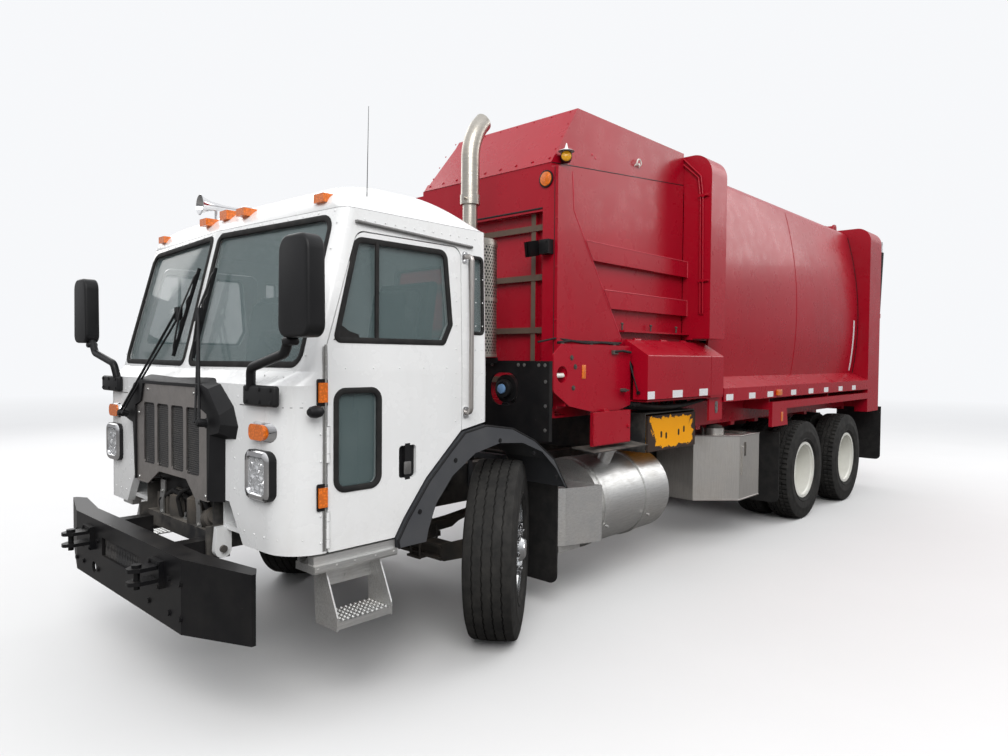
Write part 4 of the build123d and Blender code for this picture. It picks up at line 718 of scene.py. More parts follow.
def wheels():
    """Tyre skins and wheel nuts of all axles, and hub caps of the front wheels."""
    for side, s in SIDES:
        axis = Vector((-sin(STEER), cos(STEER), 0)) * s
        hub = Vector((0, s * KINGPIN_Y, TYRE_F)) + axis * HUB_OUT
        body = "front_wheel_" + side
        skin = Parts()
        tyre_parts(skin, TYRE_F, 0.3, hub, axis, STEER_TREAD, 240)
        obj = skin.make("tyre_front_%s_tread" % side, "tyre", body, sharp=28)
        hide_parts("tyre_front_" + side)
        nuts = Parts()
        up = Vector(Z)
        flat = axis.cross(up)
        for a in angles(10):
            p = hub + (flat * cos(a) + up * sin(a)) * 0.143
            nuts.rod(p + axis * 0.092, p + axis * 0.112, 0.022, 16, 0.02)
            nuts.rod(p + axis * 0.108, p + axis * 0.14, 0.0165, 6, 0.015)
            nuts.rod(p + axis * 0.138, p + axis * 0.146, 0.01, 10)
        for a in angles(8, 0.5):
            p = hub + (flat * cos(a) + up * sin(a)) * 0.068
            nuts.rod(p + axis * 0.128, p + axis * 0.14, 0.008, 6)
        nuts.make("nuts_front_" + side, "alloy_rim", body, look=CHROME, sharp=30)
        cap = Parts().lathe([(0.061, 0.15), (0.06, 0.163), (0.05, 0.17), (0.03, 0.174), (0, 0.175)], hub,
                            axis, 32)
        cap.make("hub_cap_" + side, "alloy_rim", body, look=CHROME, sharp=35)
        for k, ax in enumerate(AXLES, 1):
            body = "drive%d_wheels_%s" % (k, side)
            skin = Parts()
            for y in DUALS:
                tyre_parts(skin, TYRE_R, 0.276, (ax, s * y, TYRE_R), (0, s, 0), DRIVE_TREAD, 240)
            obj = skin.make("tyres_drive%d_%s_tread" % (k, side), "tyre", body, sharp=28)
            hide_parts("tyres_drive%d_%s" % (k, side))
            nuts = Parts()
            mid = s * sum(DUALS) / 2
            for a in angles(10):
                x, z = ax + 0.143 * cos(a), TYRE_R + 0.143 * sin(a)
                nuts.rod((x, mid + s * 0.01, z), (x, mid + s * 0.02, z), 0.024, 14)
                nuts.rod((x, mid + s * 0.018, z), (x, mid + s * 0.048, z), 0.0165, 6)
                nuts.rod((x, mid + s * 0.046, z), (x, mid + s * 0.062, z), 0.01, 10)
            for a in angles(8):
                x, z = ax + 0.066 * cos(a), TYRE_R + 0.066 * sin(a)
                nuts.rod((x, s * 1.028, z), (x, s * 1.046, z), 0.009, 6)
            nuts.make("nuts_drive%d_%s" % (k, side), "white_rim", body, sharp=30)


# cab

def front_x(y, z):
    """Outside of the raked cab front."""
    t = (z - 1.625) / 0.747
    centre, edge, width = 1.401 - 0.183 * t, 1.334 - 0.197 * t, 1.15 - 0.02 * t
    return centre + (edge - centre) * abs(y) / width


def side_y(z):
    """Outside of the cab's side."""
    return 1.15 - 0.02 * max(0.0, (z - 1.625) / 0.747)


SHIELD = mm([(38, 1650, 40), (1060, 1655, 60), (1048, 2358, 70), (38, 2366, 40)])
DOOR_PANE = mm([(1192, 1772, 20), (1066, 2252, 40), (502, 2252, 40), (468, 1872, 10), (522, 1772, 20)])
DOOR_LIGHT = mm([(1193, 1535, 50), (945, 1535, 50), (945, 1071, 50), (1193, 1071, 50)])
QUARTER = mm([(222, 1830, 20), (318, 1830, 20), (318, 2250, 20), (222, 2250, 20)])
REAR_PANE = mm([(340, 1800, 40), (900, 1800, 40), (900, 2240, 40), (340, 2240, 40)])


def seal(parts, outline, at, w, h, out):
    """Rubber strip round a window: w and h are its half width and half height."""
    loop = []
    pts = rounded(outline)
    for i, (u, v) in enumerate(pts):
        a = pts[(i + 1) % len(pts)]
        steps = max(1, int(hypot(a[0] - u, a[1] - v) / 0.12))
        loop += [at(u + (a[0] - u) * k / steps, v + (a[1] - v) * k / steps) for k in range(steps)]
    loop = [Vector(p) for p in loop]
    n, verts = len(loop), []
    for i in range(n):
        t = (loop[(i + 1) % n] - loop[i - 1]).normalized()
        o = Vector(out)
        o = (o - t * o.dot(t)).normalized()
        side = t.cross(o)
        verts += [loop[i] + side * (w * a) + o * (h * b)
                  for a, b in ((-1, -1.2), (-1, 0.5), (-0.55, 1), (0.55, 1), (1, 0.5), (1, -1.2))]
    parts.add(verts, ring_faces(n, 6, closed=True))


def window_seals():
    """Rubber round the windscreen, side, door and rear panes."""
    for side, s in SIDES:
        strip = Parts()
        seal(strip, SHIELD, lambda y, z: (front_x(y, z), s * y, z), 0.015, 0.006, (1, 0, 0.25))
        seal(strip, QUARTER, lambda x, z: (x, s * side_y(z), z), 0.01, 0.005, (0, s, 0))
        seal(strip, REAR_PANE, lambda y, z: (0.18, s * y, z), 0.012, 0.005, (-1, 0, 0))
        strip.make("window_seal_" + side, "rubber", "cab", sharp=50)
        strip = Parts()
        seal(strip, DOOR_PANE, lambda x, z: (x, s * side_y(z), z), 0.014, 0.005, (0, s, 0))
        seal(strip, DOOR_LIGHT, lambda x, z: (x, s * side_y(z), z), 0.014, 0.007, (0, s, 0))
        strip.prism("y", rounded(mm([(1190, 1785), (1205, 1772), (1060, 1772), (1066, 1800),
                (1120, 1815, 20), (1175, 1850, 20)])), s * 1.143, s * 1.149)
        y = s * 1.138
        strip.prism("y", mm([(962, 1775), (944, 1775), (944, 2250), (962, 2250)]), y - 0.006, y + 0.006)
        strip.make("door_seal_" + side, "rubber", "door_" + side, sharp=50)


def lower_front(y):
    """Outside of the upright cab front below the windscreen, round its corner."""
    if y <= 0.9615:
        return 1.452 - 0.016 * y / 1.15
    return 1.2465 + sqrt(max(0.0, 0.19 ** 2 - (y - 0.96) ** 2))


def wrap(z, y0, y1=1.1495, steps=14, off=0.0):
    """Path across the cab front at height z, from y0 out to the side."""
    return [(lower_front(y0 + (y1 - y0) * k / steps) + off, y0 + (y1 - y0) * k / steps, z)
            for k in range(steps + 1)]


def wipers():
    """Pantograph wiper of each pane, parked upright beside the middle bar."""
    arms = Parts()
    for pivot, elbow, low, high in (((1.512, -0.56, 1.35), (1.336, -0.165, 1.95), (1.4, -0.15, 1.69),
            (1.282, -0.075, 2.19)),
            ((1.512, 0.5, 1.362), (1.34, 0.108, 1.935), (1.402, 0.108, 1.68), (1.284, 0.132, 2.175))):
        p, e = Vector(pivot), Vector(elbow)
        out = Vector((0.03, 0, 0.01))
        side = Vector((0, 0.045 if p.y < 0 else -0.045, 0))
        arms.sweep(bent([p, p + out, p.lerp(e, 0.15) + out, e + out], 0.03), 0.0075)
        arms.sweep(bent([p + side, p + side + out, (p + side).lerp(e, 0.15) + out,
                         e + out + Vector((0, 0, -0.05))], 0.03), 0.006)
        arms.lathe([(0, 0.045), (0.017, 0.043), (0.021, 0.03), (0.021, 0.0), (0.026, -0.004)], p,
                   (1, 0, 0.1), 20)
        arms.rod(p + side, p + side + out * 1.2, 0.013, 14)
        arms.block(e.x + 0.016, e.x + 0.04, e.y - 0.028, e.y + 0.028, e.z - 0.055, e.z + 0.018)
        a, b = Vector(low), Vector(high)
        arms.strip([a, a.lerp(b, 0.5), b], 0.004, 0.01, Y)
        spine = Vector((0.018, 0, 0.004))
        for k in range(4):
            q = a.lerp(b, (k + 0.5) / 4)
            arms.strip(bent([q - (b - a) * 0.11, q + spine, q + (b - a) * 0.11], 0.05), 0.006, 0.003, Y)
        arms.strip(bent([a.lerp(b, 0.12) + spine * 0.8, a.lerp(b, 0.5) + spine * 2.0,
                         a.lerp(b, 0.88) + spine * 0.8], 0.2), 0.007, 0.0035, Y)
    arms.make("wipers", "black_plastic", "cab")


def headlamps():
    """Chrome bezel, reflectors and clear lens of both headlamps."""
    bezel, cups, cover = Parts(), Parts(), Parts()
    rows = ((0.0, 1.452), (0.0, 1.463), (0.006, 1.47), (0.026, 1.473), (0.032, 1.466), (0.034, 1.452))
    loops = [rect(0.812 + a, 1.032 + a, 1.028 - a, 1.26 - a, 0.043 - a * 0.6) for a, _ in rows]
    verts = [(x, y, z) for (_, x), loop in zip(rows, loops) for y, z in loop]
    bezel.add(verts, ring_faces(len(rows), len(loops[0])))
    cover.prism("x", loops[4], 1.464, 1.4675)
    cups.prism("x", loops[4], 1.449, 1.451)
    for y, z, r in ((0.92, 1.196, 0.027), (0.882, 1.15, 0.025), (0.958, 1.15, 0.025), (0.92, 1.102, 0.027),
                    (0.88, 1.09, 0.018), (0.96, 1.09, 0.018), (0.88, 1.205, 0.016), (0.96, 1.205, 0.016)):
        cups.lathe([(r, 0.0), (r, 0.012), (r * 0.86, 0.012), (r * 0.5, 0.004), (r * 0.3, 0.005),
                    (r * 0.22, 0.011), (0, 0.012)], (LAMP_FACE, y, z), X, 20)
    bezel.mirrored().make("headlamp_bezels", "stainless", "cab", look=CHROME)
    cups.mirrored().make("headlamp_reflectors", "stainless", "cab", look=CHROME)
    cover.mirrored().make("headlamp_lenses", "glass", "cab", look=LENS_CLEAR)


def front_lamps():
    """Chrome bases of the turn lamps and black bases of the side markers."""
    base = Parts()
    rows = ((0.0, 1.425), (0.0, 1.44), (0.01, 1.456), (0.013, 1.456), (0.013, 1.44))
    loops = [rect(0.832 + a, 1.297 + a, 1.036 - a * 3, 1.393 - a, 0.04) for a, _ in rows]
    base.add([(x - max(0.0, y - 0.96) * 0.25, y, z) for (_, x), loop in zip(rows, loops) for y, z in loop],
             ring_faces(len(rows), len(loops[0])))
    base.mirrored().make("turn_lamp_bases", "stainless", "cab", look=CHROME)
    back = Parts()
    for z in (1.05, 1.53):
        back.prism("y", rect(1.24, z - 0.062, 1.296, z + 0.062, 0.008), 1.1495, 1.1545)
        for a in (-0.054, 0.054):
            back.rivet((1.268, 1.1545, z + a), Y, 0.004)
    back.lathe([(0, -0.044), (0.016, -0.04), (0.025, -0.024), (0.029, 0.0), (0.025, 0.026), (0.016, 0.04),
                (0, 0.044)], (1.318, 1.178, 1.446), (1, 0.25, 0), 22)
    back.rod((1.28, 1.14, 1.446), (1.292, 1.176, 1.446), 0.01)
    back.mirrored().make("marker_bases", "black_plastic", "cab")


def grille_details():
    """Honeycomb sheet in the four slots and the plate's screws."""
    net = Parts()
    r = 0.0074
    levels = ((1.4715, r), (1.4715, r * 0.68), (1.4665, r * 0.68))
    ring = [(cos(pi * a / 3 + pi / 6), sin(pi * a / 3 + pi / 6)) for a in range(6)]
    for k in range(4):
        c, j, z = -0.285 + 0.19 * k, 0, 1.08
        while z < 1.424:
            y = c - 0.076 + (r * 0.866 if j % 2 else 0)
            while y < c + 0.077:
                net.add([(x, y + u * q, z + w * q) for x, q in levels for u, w in ring], ring_faces(3, 6))
                y += r * 1.732
            z += r * 1.5
            j += 1
    net.make("grille_net", "black_plastic", "cab", look=NET, sharp=80)
    screws = Parts()
    for y, z in ((0.3, 1.5), (-0.3, 1.5), (0.432, 0.985), (-0.432, 0.985), (0.435, 1.36), (-0.435, 1.36)):
        screws.rivet((1.482, y, z), X, 0.01)
        screws.rod((1.482, y + 0.012, z), (1.4835, y + 0.012, z), 0.004, 8)
    screws.make("grille_screws", "stainless", "cab", look=GALV)


def rivets():
    """Rivet rows of the cab skin, with the lap seam and the piano hinges."""
    dots = Parts()
    pitch = 0.125
    raked = [(0.06 + pitch * k, 2.386) for k in range(9)] + [(1.094, 1.7 + pitch * k) for k in range(6)]
    for y, z in raked:
        dots.rivet((front_x(y, z) + 0.001, y, z), (1, 0, 0.24), 0.0055)
    for k in range(7):
        dots.rivet((1.274, CAB_SIDE, 0.84 + pitch * k), Y, 0.0055)
    for k in range(5):
        y = 0.76 + 0.09 * k
        for z in (1.486, 0.86):
            dots.rivet((lower_front(y) + 0.0005, y, z), X, 0.005)
    for y, z in ((0.7, 1.5), (0.8, 1.605), (0.95, 1.605), (1.06, 1.6), (0.665, 1.2), (0.665, 1.05),
                 (0.7, 0.93)):
        dots.rivet((lower_front(y) + 0.0005, y, z), X, 0.005)
    for k in range(13):
        dots.rivet((1.02 - 0.062 * k, 1.1318, 2.352), Y, 0.0045)
    for z in HINGE_ROW:
        for x in (0.285, 0.232):
            dots.rivet((x, CAB_SIDE, z), Y, 0.0045)
    dots.mirrored().make("cab_rivets", "white_paint", "cab", sharp=60)
    seam = Parts()
    seam.strip(wrap(1.462, 0.72, off=-0.0002), 0.0022, 0.0022, Z)
    rail = [(1.076, 1.138, 2.336), (0.306, 1.138, 2.304)]
    seam.strip(rail, 0.01, 0.007, Y)
    seam.mirrored().make("cab_seams", "stainless", "cab", look=GREY)
    hinge = Parts()
    hinge.block(1.25, 1.264, 1.149, 1.1515, 0.8, 1.74)
    z = 0.802
    while z < 1.74:
        hinge.rod((1.25, 1.153, z), (1.25, 1.153, z + 0.047), 0.0055, 10)
        z += 0.05
    hinge.mirrored().make("piano_hinges", "stainless", "cab", look=GALV)


def roof_fittings():
    """Air horn and whip antenna on the roof."""
    horn = Parts()
    horn.lathe([(0.062, 0.25), (0.06, 0.252), (0.044, 0.225), (0.028, 0.18), (0.018, 0.11), (0.014, 0.0),
                (0.026, -0.006), (0.034, -0.03), (0.034, -0.06), (0, -0.064)], (0.925, -0.29, 2.6),
               (1, -0.08, 0), 28)
    horn.rod((0.95, -0.29, 2.545), (0.95, -0.29, 2.59), 0.012)
    horn.rod((1.08, -0.302, 2.52), (1.08, -0.302, 2.59), 0.008)
    horn.make("air_horn", "stainless", "cab", look=CHROME)
    whip = Parts()
    whip.rod((0.958, 1.062, 2.47), (0.94, 1.05, 2.93), 0.0022, 8, 0.0012)
    whip.lathe([(0.026, 0.0), (0.026, 0.008), (0.014, 0.018), (0.008, 0.048), (0.004, 0.06), (0, 0.062)],
               (0.96, 1.066, 2.412), (-0.05, -0.05, 1), 18)
    whip.block(0.925, 0.995, 1.058, 1.096, 2.404, 2.412)
    whip.rod((0.96, 1.08, 2.385), (0.96, 1.075, 2.408), 0.012)
    whip.make("antenna", "black_plastic", "cab")


def door_details():
    """Handle tray, lock, paddle and rivets of each door, and the feet of the grab handles."""
    for side, s in SIDES:
        tray = Parts()
        tray.prism("y", rect(0.822, 1.248, 0.71, 1.083, 0.018), s * 1.1285, s * 1.131)
        tray.block(0.748, 0.786, s * 1.131, s * 1.136, 1.18, 1.2)
        tray.lathe([(0.013, 0.0), (0.013, 0.006), (0.009, 0.008), (0, 0.008)], (0.767, s * 1.131, 1.215),
                   (0, s, 0), 18)
        tray.block(0.7505, 0.7835, s * 1.1335, s * 1.1505, 1.0735, 1.2575)
        tray.make("handle_tray_" + side, "black_plastic", "door_" + side)
        paddle = Parts()
        paddle.prism("y", rect(0.79, 1.165, 0.744, 1.1, 0.008), s * 1.1492, s * 1.152)
        paddle.make("handle_paddle_" + side, "stainless", "door_" + side, look=GREY, bevel=0.001)
        edge = Parts()
        for x, z in [(0.432, z) for z in HINGE_ROW] + [(x, 1.64) for x in (0.5, 0.66, 0.82, 0.98, 1.14)]:
            edge.rivet((x, s * CAB_SIDE, z), (0, s, 0), 0.0045)
        edge.make("door_rivets_" + side, "white_paint", "door_" + side, sharp=60)
    feet = Parts()
    for z in (2.244, 1.395):
        y = side_y(z)
        feet.prism("y", rect(0.344, z - 0.03, 0.38, z + 0.03, 0.01), y, y + 0.008)
        for a in (-0.02, 0.02):
            feet.bolt((0.362, y + 0.008, z + a), Y, 0.005, 0.004, False)
    feet.mirrored().make("grab_handle_feet", "stainless", "cab", look=CHROME)


def mirror_heads():
    """Moulded mirror heads with soft edges, their arms and clamps."""
    heads = Parts()
    loop = rounded([(1.214, 1.772, 0.055), (1.456, 1.772, 0.055), (1.448, 2.196, 0.07),
                    (1.222, 2.196, 0.07)], 8)
    heads.prism("x", loop, 1.442, 1.528)
    heads.sweep(bent(mm([(1455, 850, 1530), (1470, 880, 1640), (1478, 1190, 1705), (1482, 1245, 1790)]),
                     0.05), 0.022, 16)
    heads.prism("y", mm([(1440, 1466), (1474, 1466), (1474, 1561), (1440, 1561)]), 0.802, 1.088)
    heads.block(1.452, 1.512, 1.215, 1.275, 1.74, 1.776)
    heads.mirrored()
    obj = heads.make("mirror_heads", "black_plastic", "cab", sharp=38, bevel=0.014, steps=4)
    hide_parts("mirrors")
    bolts = Parts()
    for y in (0.84, 0.96, 1.06):
        for z in (1.485, 1.543):
            bolts.bolt((1.474, y, z), X, 0.008, 0.005)
    bolts.mirrored().make("mirror_bolts", "black_plastic", "cab", sharp=30)
    panes = Parts()
    pane = [(1.236, 1.8, 0.04), (1.434, 1.8, 0.04), (1.428, 2.17, 0.05), (1.242, 2.17, 0.05)]
    panes.prism("x", rounded(pane), 1.4395, 1.4425)
    panes.mirrored().make("mirror_panes", "stainless", "cab", look=CHROME)


def front_bay():
    """Steering gear, hoses, reservoir and brackets under the grille."""
    dark, bright, hoses = Parts(), Parts(), Parts()
    dark.lathe([(0, -0.11), (0.045, -0.105), (0.055, -0.08), (0.055, 0.05), (0.042, 0.06), (0.042, 0.1),
                (0, 0.105)], (1.385, 0.3, 0.84), (0.2, 1, 0.3), 24)
    dark.lathe([(0, -0.1), (0.05, -0.095), (0.058, -0.07), (0.058, 0.07), (0.03, 0.085), (0.022, 0.12),
                (0, 0.12)], (1.38, 0.12, 0.85), Z, 24)
    dark.block(1.34, 1.42, -0.33, -0.19, 0.78, 0.9)
    dark.lathe([(0.06, -0.06), (0.064, 0.0), (0.06, 0.06), (0.03, 0.07), (0.028, 0.1), (0, 0.1)],
               (1.37, -0.12, 0.845), Z, 24)
    bright.prism("x", mm([(-265, 780), (-215, 780), (-215, 880), (-190, 930), (-190, 985), (-250, 985),
                          (-250, 930), (-265, 880)]), 1.425, 1.433)
    bright.prism("x", mm([(215, 780), (265, 780), (265, 880), (250, 960), (200, 960), (200, 930),
                          (215, 880)]), 1.425, 1.433)
    for y in (-0.24, 0.235):
        bright.bolt((1.433, y, 0.8), X, 0.01, 0.007)
        bright.bolt((1.433, y + 0.01, 0.92), X, 0.01, 0.007)
    hoses.sweep(bent([(1.4, -0.3, 0.79), (1.425, -0.28, 0.86), (1.405, -0.14, 0.93), (1.39, 0.04, 0.9),
                      (1.395, 0.16, 0.8)], 0.06), 0.014, 12)
    hoses.sweep(bent([(1.39, 0.34, 0.8), (1.415, 0.3, 0.92), (1.4, 0.18, 0.955), (1.395, 0.02, 0.8)], 0.06),
                0.016, 12)
    hoses.sweep(bent([(1.4, -0.05, 0.8), (1.425, -0.04, 0.9), (1.425, 0.02, 0.95), (1.38, 0.05, 0.97)],
                     0.04), 0.011, 12)
    for foot in ((1.402, -0.295, 0.8), (1.394, 0.165, 0.805), (1.392, 0.335, 0.815), (1.396, 0.02, 0.81)):
        bright.lathe([(0, -0.025), (0.02, -0.025), (0.02, -0.005), (0.017, -0.005), (0.017, 0.018),
                      (0, 0.018)], foot, Z, 6)
    dark.make("front_bay_parts", "cast", sharp=35)
    bright.make("front_bay_brackets", "white_paint", look=GALV, sharp=35)
    hoses.make("front_bay_hoses", "rubber")


# hopper and body

def shell_y(z, top=3.37):
    """Outside of the barrel-sided shell at height z."""
    (x1, y1), (x2, y2), (x3, y3) = (1.015, 1.48), (1.081, 2.22), (0.93, top - 0.066)
    d = 2 * (x1 * (y2 - y3) + x2 * (y3 - y1) + x3 * (y1 - y2))
    a, b, c = x1 ** 2 + y1 ** 2, x2 ** 2 + y2 ** 2, x3 ** 2 + y3 ** 2
    cy = (a * (y2 - y3) + b * (y3 - y1) + c * (y1 - y2)) / d
    cz = (a * (x3 - x2) + b * (x1 - x3) + c * (x2 - x1)) / d
    r = hypot(x1 - cy, y1 - cz)
    return cy + sqrt(max(0.0, r * r - (z - cz) ** 2))


def canopy_lap():
    """Lap plate on the canopy's slope, its bolts and the rivets round the hopper's front."""
    slope = Vector((-0.283, 0, 0.428)).normalized()
    out = Vector((0.834, 0, 0.552))
    foot = Vector((-0.6, 0, 2.992))
    lap = Parts()
    a, b = foot + out * 0.0005, foot + slope * 0.066 + out * 0.0005
    lap.prism("y", [(a.x, a.z), (b.x, b.z), (b.x + 0.0025, b.z + 0.0017), (a.x + 0.0025, a.z + 0.0017)],
              -0.318, 0.96)
    for k in range(9):
        lap.bolt(foot + slope * 0.045 + out * 0.003 + Vector((0, 0.925 - 0.15 * k, 0)), out, 0.009, 0.006)
    for k in range(8):
        lap.rivet(foot + slope * 0.497 + out * 0.001 + Vector((0, 0.9 - 0.165 * k, 0)), out, 0.007)
    for d in (0.13, 0.25, 0.37):
        for y in (0.935, -0.295):
            lap.rivet(foot + slope * d + out * 0.001 + Vector((0, y, 0)), out, 0.007)
    for z in (1.55, 1.95, 2.3, 2.62):
        lap.rivet((HOPPER_FRONT, 1.009, z), X, 0.008)
    lap.make("canopy_lap", "red_paint")


def hopper_gap_shadows():
    """Black strips along the gaps at the hopper's post, canopy and bay head: painted shadow lines for the
    shade in those gaps.
    """
    post = Parts()
    post.strip([(HOPPER_FRONT, 0.992, 1.37), (HOPPER_FRONT, 0.992, 2.955)], 0.0025, 0.0015, Y)
    post.strip([(-0.602, HOPPER_SIDE, 2.992), (-2.364, HOPPER_SIDE, 3.163)], 0.003, 0.0012, Z)
    post.strip([(HOPPER_FRONT, -0.95, 2.7), (HOPPER_FRONT, 0.888, 2.7)], 0.006, 0.003, Z)
    # The black strips are painted shadow lines for the gaps.
    post.make("hopper_gap_shadows", "black_plastic", sharp=60)


def hopper_lamps():
    """Header lamp, corner lamp with its cone, and the bracket of a work lamp."""
    lamps, rims, amber = Parts(), Parts(), Parts()
    rims.lathe([(0.058, 0.0), (0.058, 0.008), (0.05, 0.01), (0.048, 0.004)],
               (HOPPER_FRONT - 0.0003, 0.92, 2.888), X, 32)
    amber.lathe([(0.049, 0.003), (0.046, 0.012), (0.03, 0.016), (0, 0.017)],
                (HOPPER_FRONT - 0.0003, 0.92, 2.888), X, 32)
    face = Vector((0.75, 0.66, 0)).normalized()
    corner = Vector((-0.676, 1.025, 3.036))
    lamps.lathe([(0.034, -0.012), (0.034, 0.004), (0.03, 0.01), (0.018, 0.015), (0, 0.017)], corner, face, 28)
    rims.lathe([(0, -0.07), (0.03, -0.07), (0.038, -0.05), (0.038, 0.004), (0.035, 0.006)], corner, face, 28)
    rims.block(-0.7, -0.74, 0.96, 1.01, 3.01, 3.022)
    rims.block(-0.545, -0.6, 0.905, 0.985, 2.385, 2.48)
    for z in (2.4, 2.465):
        rims.bolt((-0.545, 0.965, z), X, 0.007, 0.005)
    for y in (0.855, 0.885):
        rims.add([(-0.56 + x * 0.09 + z * 0.03, y + w * 0.01 + z * 0.02, 2.43 + z * 0.045 - x * 0.02)
                  for x in (0, 1) for w in (-1, 1) for z in (-1, 1)],
                 BOX_FACES)
    rims.rod((-0.555, 0.875, 2.43), (-0.572, 0.93, 2.43), 0.009)
    rims.make("lamp_rims", "black_plastic")
    amber.make("header_lamp", "lens_amber")
    lamps.make("corner_lamp", "lens_amber", look=LENS_YELLOW)
    cone = Parts().lathe([(0.055, 0.03), (0.053, 0.032), (0.012, 0.05), (0.003, 0.085), (0, 0.086)], corner,
                         Z, 24)
    cone.make("lamp_cone", "white_paint")


def bay_frame():
    """Worn steel of the bay's cross bars and post."""
    bars = Parts()
    for z in (1.52, 1.865, 2.224, 2.56):
        bars.block(-0.6345, -0.6335, -0.868, 0.888, z + 0.001, z + 0.039)
        bars.block(-0.669, -0.635, -0.868, 0.888, z + 0.04, z + 0.042)
    bars.block(-0.6395, -0.6385, 0.762, 0.798, 1.402, 2.678)
    bars.block(-0.669, -0.64, 0.757, 0.7598, 1.402, 2.678)
    bars.make("bay_frame_worn", "cast", look=WORN)


def beads_and_hooks():
    """Beads along the edges of the hopper's folded plates, two rivets and the hooks on the flange; the beads
    and rivets are a lighter red as a painted highlight.
    """
    bead = Parts()
    bead.sweep([(-0.779, 1.0005, 2.962), (-0.7985, 1.0005, 2.7), (-1.389, 1.0005, 1.85)], 0.0035, 8)
    for a, z in ((-0.928, 2.515), (-1.154, 2.19)):
        bead.sweep([(a - 0.006, 1.008, z), (-2.368, 1.008, z)], 0.0035, 8)
        bead.sweep([(-2.3695, 1.008, z), (-2.3695, 1.008, z - 0.13)], 0.003, 8)
    hooks = Parts()
    for x in (-1.419, -1.824, -2.224):
        hooks.rod((x, 0.99, 1.91), (x, 0.99, 1.952), 0.006, 10)
        hooks.lathe([(0, -0.01), (0.01, -0.006), (0.012, 0.0), (0.01, 0.006), (0, 0.01)], (x, 0.99, 1.958),
                    Z, 14)
    hooks.make("flange_hooks", "cast")
    for x, z in ((-1.056, 3.139), (-1.094, 3.122)):
        bead.rivet((x, HOPPER_SIDE, z), Y, 0.009)
    # The beads and rivets take the lighter red, a painted highlight.
    bead.make("edge_beads_highlight", "red_paint", look=HIGHLIGHT_RED, sharp=60)


def canopy_eye():
    """Lifting eye at the canopy's edge."""
    loop = Parts()
    arch = [(-1.632 + 0.03 * cos(pi * k / 12), 0.985, 3.19 + 0.034 * sin(pi * k / 12)) for k in range(13)]
    loop.sweep([(-1.602, 0.961, 3.17)] + arch + [(-1.662, 0.961, 3.17)], 0.005, 10)
    loop.rod((-1.632, HOPPER_SIDE, 3.184), (-1.632, 0.986, 3.184), 0.009, 12)
    loop.make("canopy_eye", "white_rim", sharp=50)


def ring_pipes():
    """Two pipes down the front flange ring, with their clamps."""
    pipes = Parts()
    for d in (0.0, 0.024):
        pipes.sweep(bent([(RING_FACE, 0.935 + d, 3.358 + d), (RING_FACE, 1.098 + d, 3.205 + d * 0.4),
                          (RING_FACE, 1.118 + d, 3.05), (RING_FACE, 1.13 + d, 2.075),
                          (-2.384, 1.13 + d, 2.066)], 0.012), 0.0075, 10)
    for z in (3.051, 2.349):
        y = 1.128 if z < 3 else 1.12
        pipes.block(-2.3725, -2.35, y - 0.014, y + 0.04, z - 0.012, z + 0.012)
        pipes.rod((-2.36, y + 0.035, z), (-2.36, y + 0.075, z), 0.01)
        pipes.bolt((-2.35, y + 0.012, z), X, 0.007, 0.006)
    pipes.make("ring_pipes", "red_paint")


def low_front_fittings():
    """White pipe, amber side reflectors, hoses and bolts around the low front plate."""
    Parts().rod((-0.45, 1.072, 1.583), (-0.64, 1.072, 1.583), 0.016, 16).make("white_pipe", "white_rim")
    fit = Parts()
    fit.block(-0.815, -0.773, 1.1, 1.1035, 1.56, 1.652)
    fit.block(-3.962, -3.918, 1.215, 1.2185, 1.09, 1.185)
    # The amber lens material glows faintly; these reflectors hold no lamp, so their glow is painted light.
    fit.make("side_reflectors_amber", "lens_amber", bevel=0.001)
    dark = Parts()
    hose = Parts()
    upper = [(-600, 1030, 1800), (-720, 1050, 1812), (-900, 1045, 1800), (-1060, 1060, 1808),
             (-1300, 1040, 1800)]
    inner = [(-450, 985, 1800), (-600, 1010, 1828), (-800, 1030, 1812), (-1360, 1020, 1812)]
    lower = [(-1140, 1112, 1745), (-1220, 1128, 1752), (-1340, 1118, 1742)]
    for path, turn, r in ((upper, 0.1, 0.009), (inner, 0.1, 0.007), (lower, 0.03, 0.009)):
        hose.sweep(bent(mm(path), turn), r, 10)
    hose.make("low_front_hoses", "rubber", sharp=60)
    dark.block(-1.12, -1.18, 1.1005, 1.118, 1.728, 1.756)
    dark.rod((-1.25, 1.1, 1.47), (-1.25, 1.14, 1.47), 0.014)
    dark.block(-1.19, -1.29, 1.13, 1.142, 1.464, 1.476)
    for x, z in ((-0.66, 1.7), (-0.68, 1.5), (-0.7, 1.64)):
        dark.bolt((x, PLATE_FACE, z), Y, 0.012, 0.008)
    for x in (-0.6, -0.92, -1.2):
        dark.bolt((x, 1.07, 1.79), Z, 0.01, 0.008)
    dark.make("low_front_fittings", "cast")


def service_door():
    """Skin of the small service door with hinges, latch and rivets, and the tray under it."""
    door = Parts()
    door.prism("y", rect(-0.846, 1.106, -1.29, 1.324, 0.006), 1.15, SERVICE_DOOR)
    for z in (1.15, 1.28):
        door.rod((-0.84, 1.152, z - 0.03), (-0.84, 1.152, z + 0.03), 0.007, 10)
    door.bolt((-1.262, SERVICE_DOOR, 1.215), Y, 0.012, 0.01)
    for x, z in ((-0.88, 1.13), (-1.26, 1.13), (-0.88, 1.3), (-1.26, 1.3)):
        door.rivet((x, SERVICE_DOOR, z), Y, 0.006)
    door.make("service_door_skin", "red_paint")
    tray = mm([(1000, 1078), (1190, 1060), (1192, 1066), (1000, 1086)])
    Parts().prism("x", tray, -0.8, -1.48).make("service_tray", "frame_black")


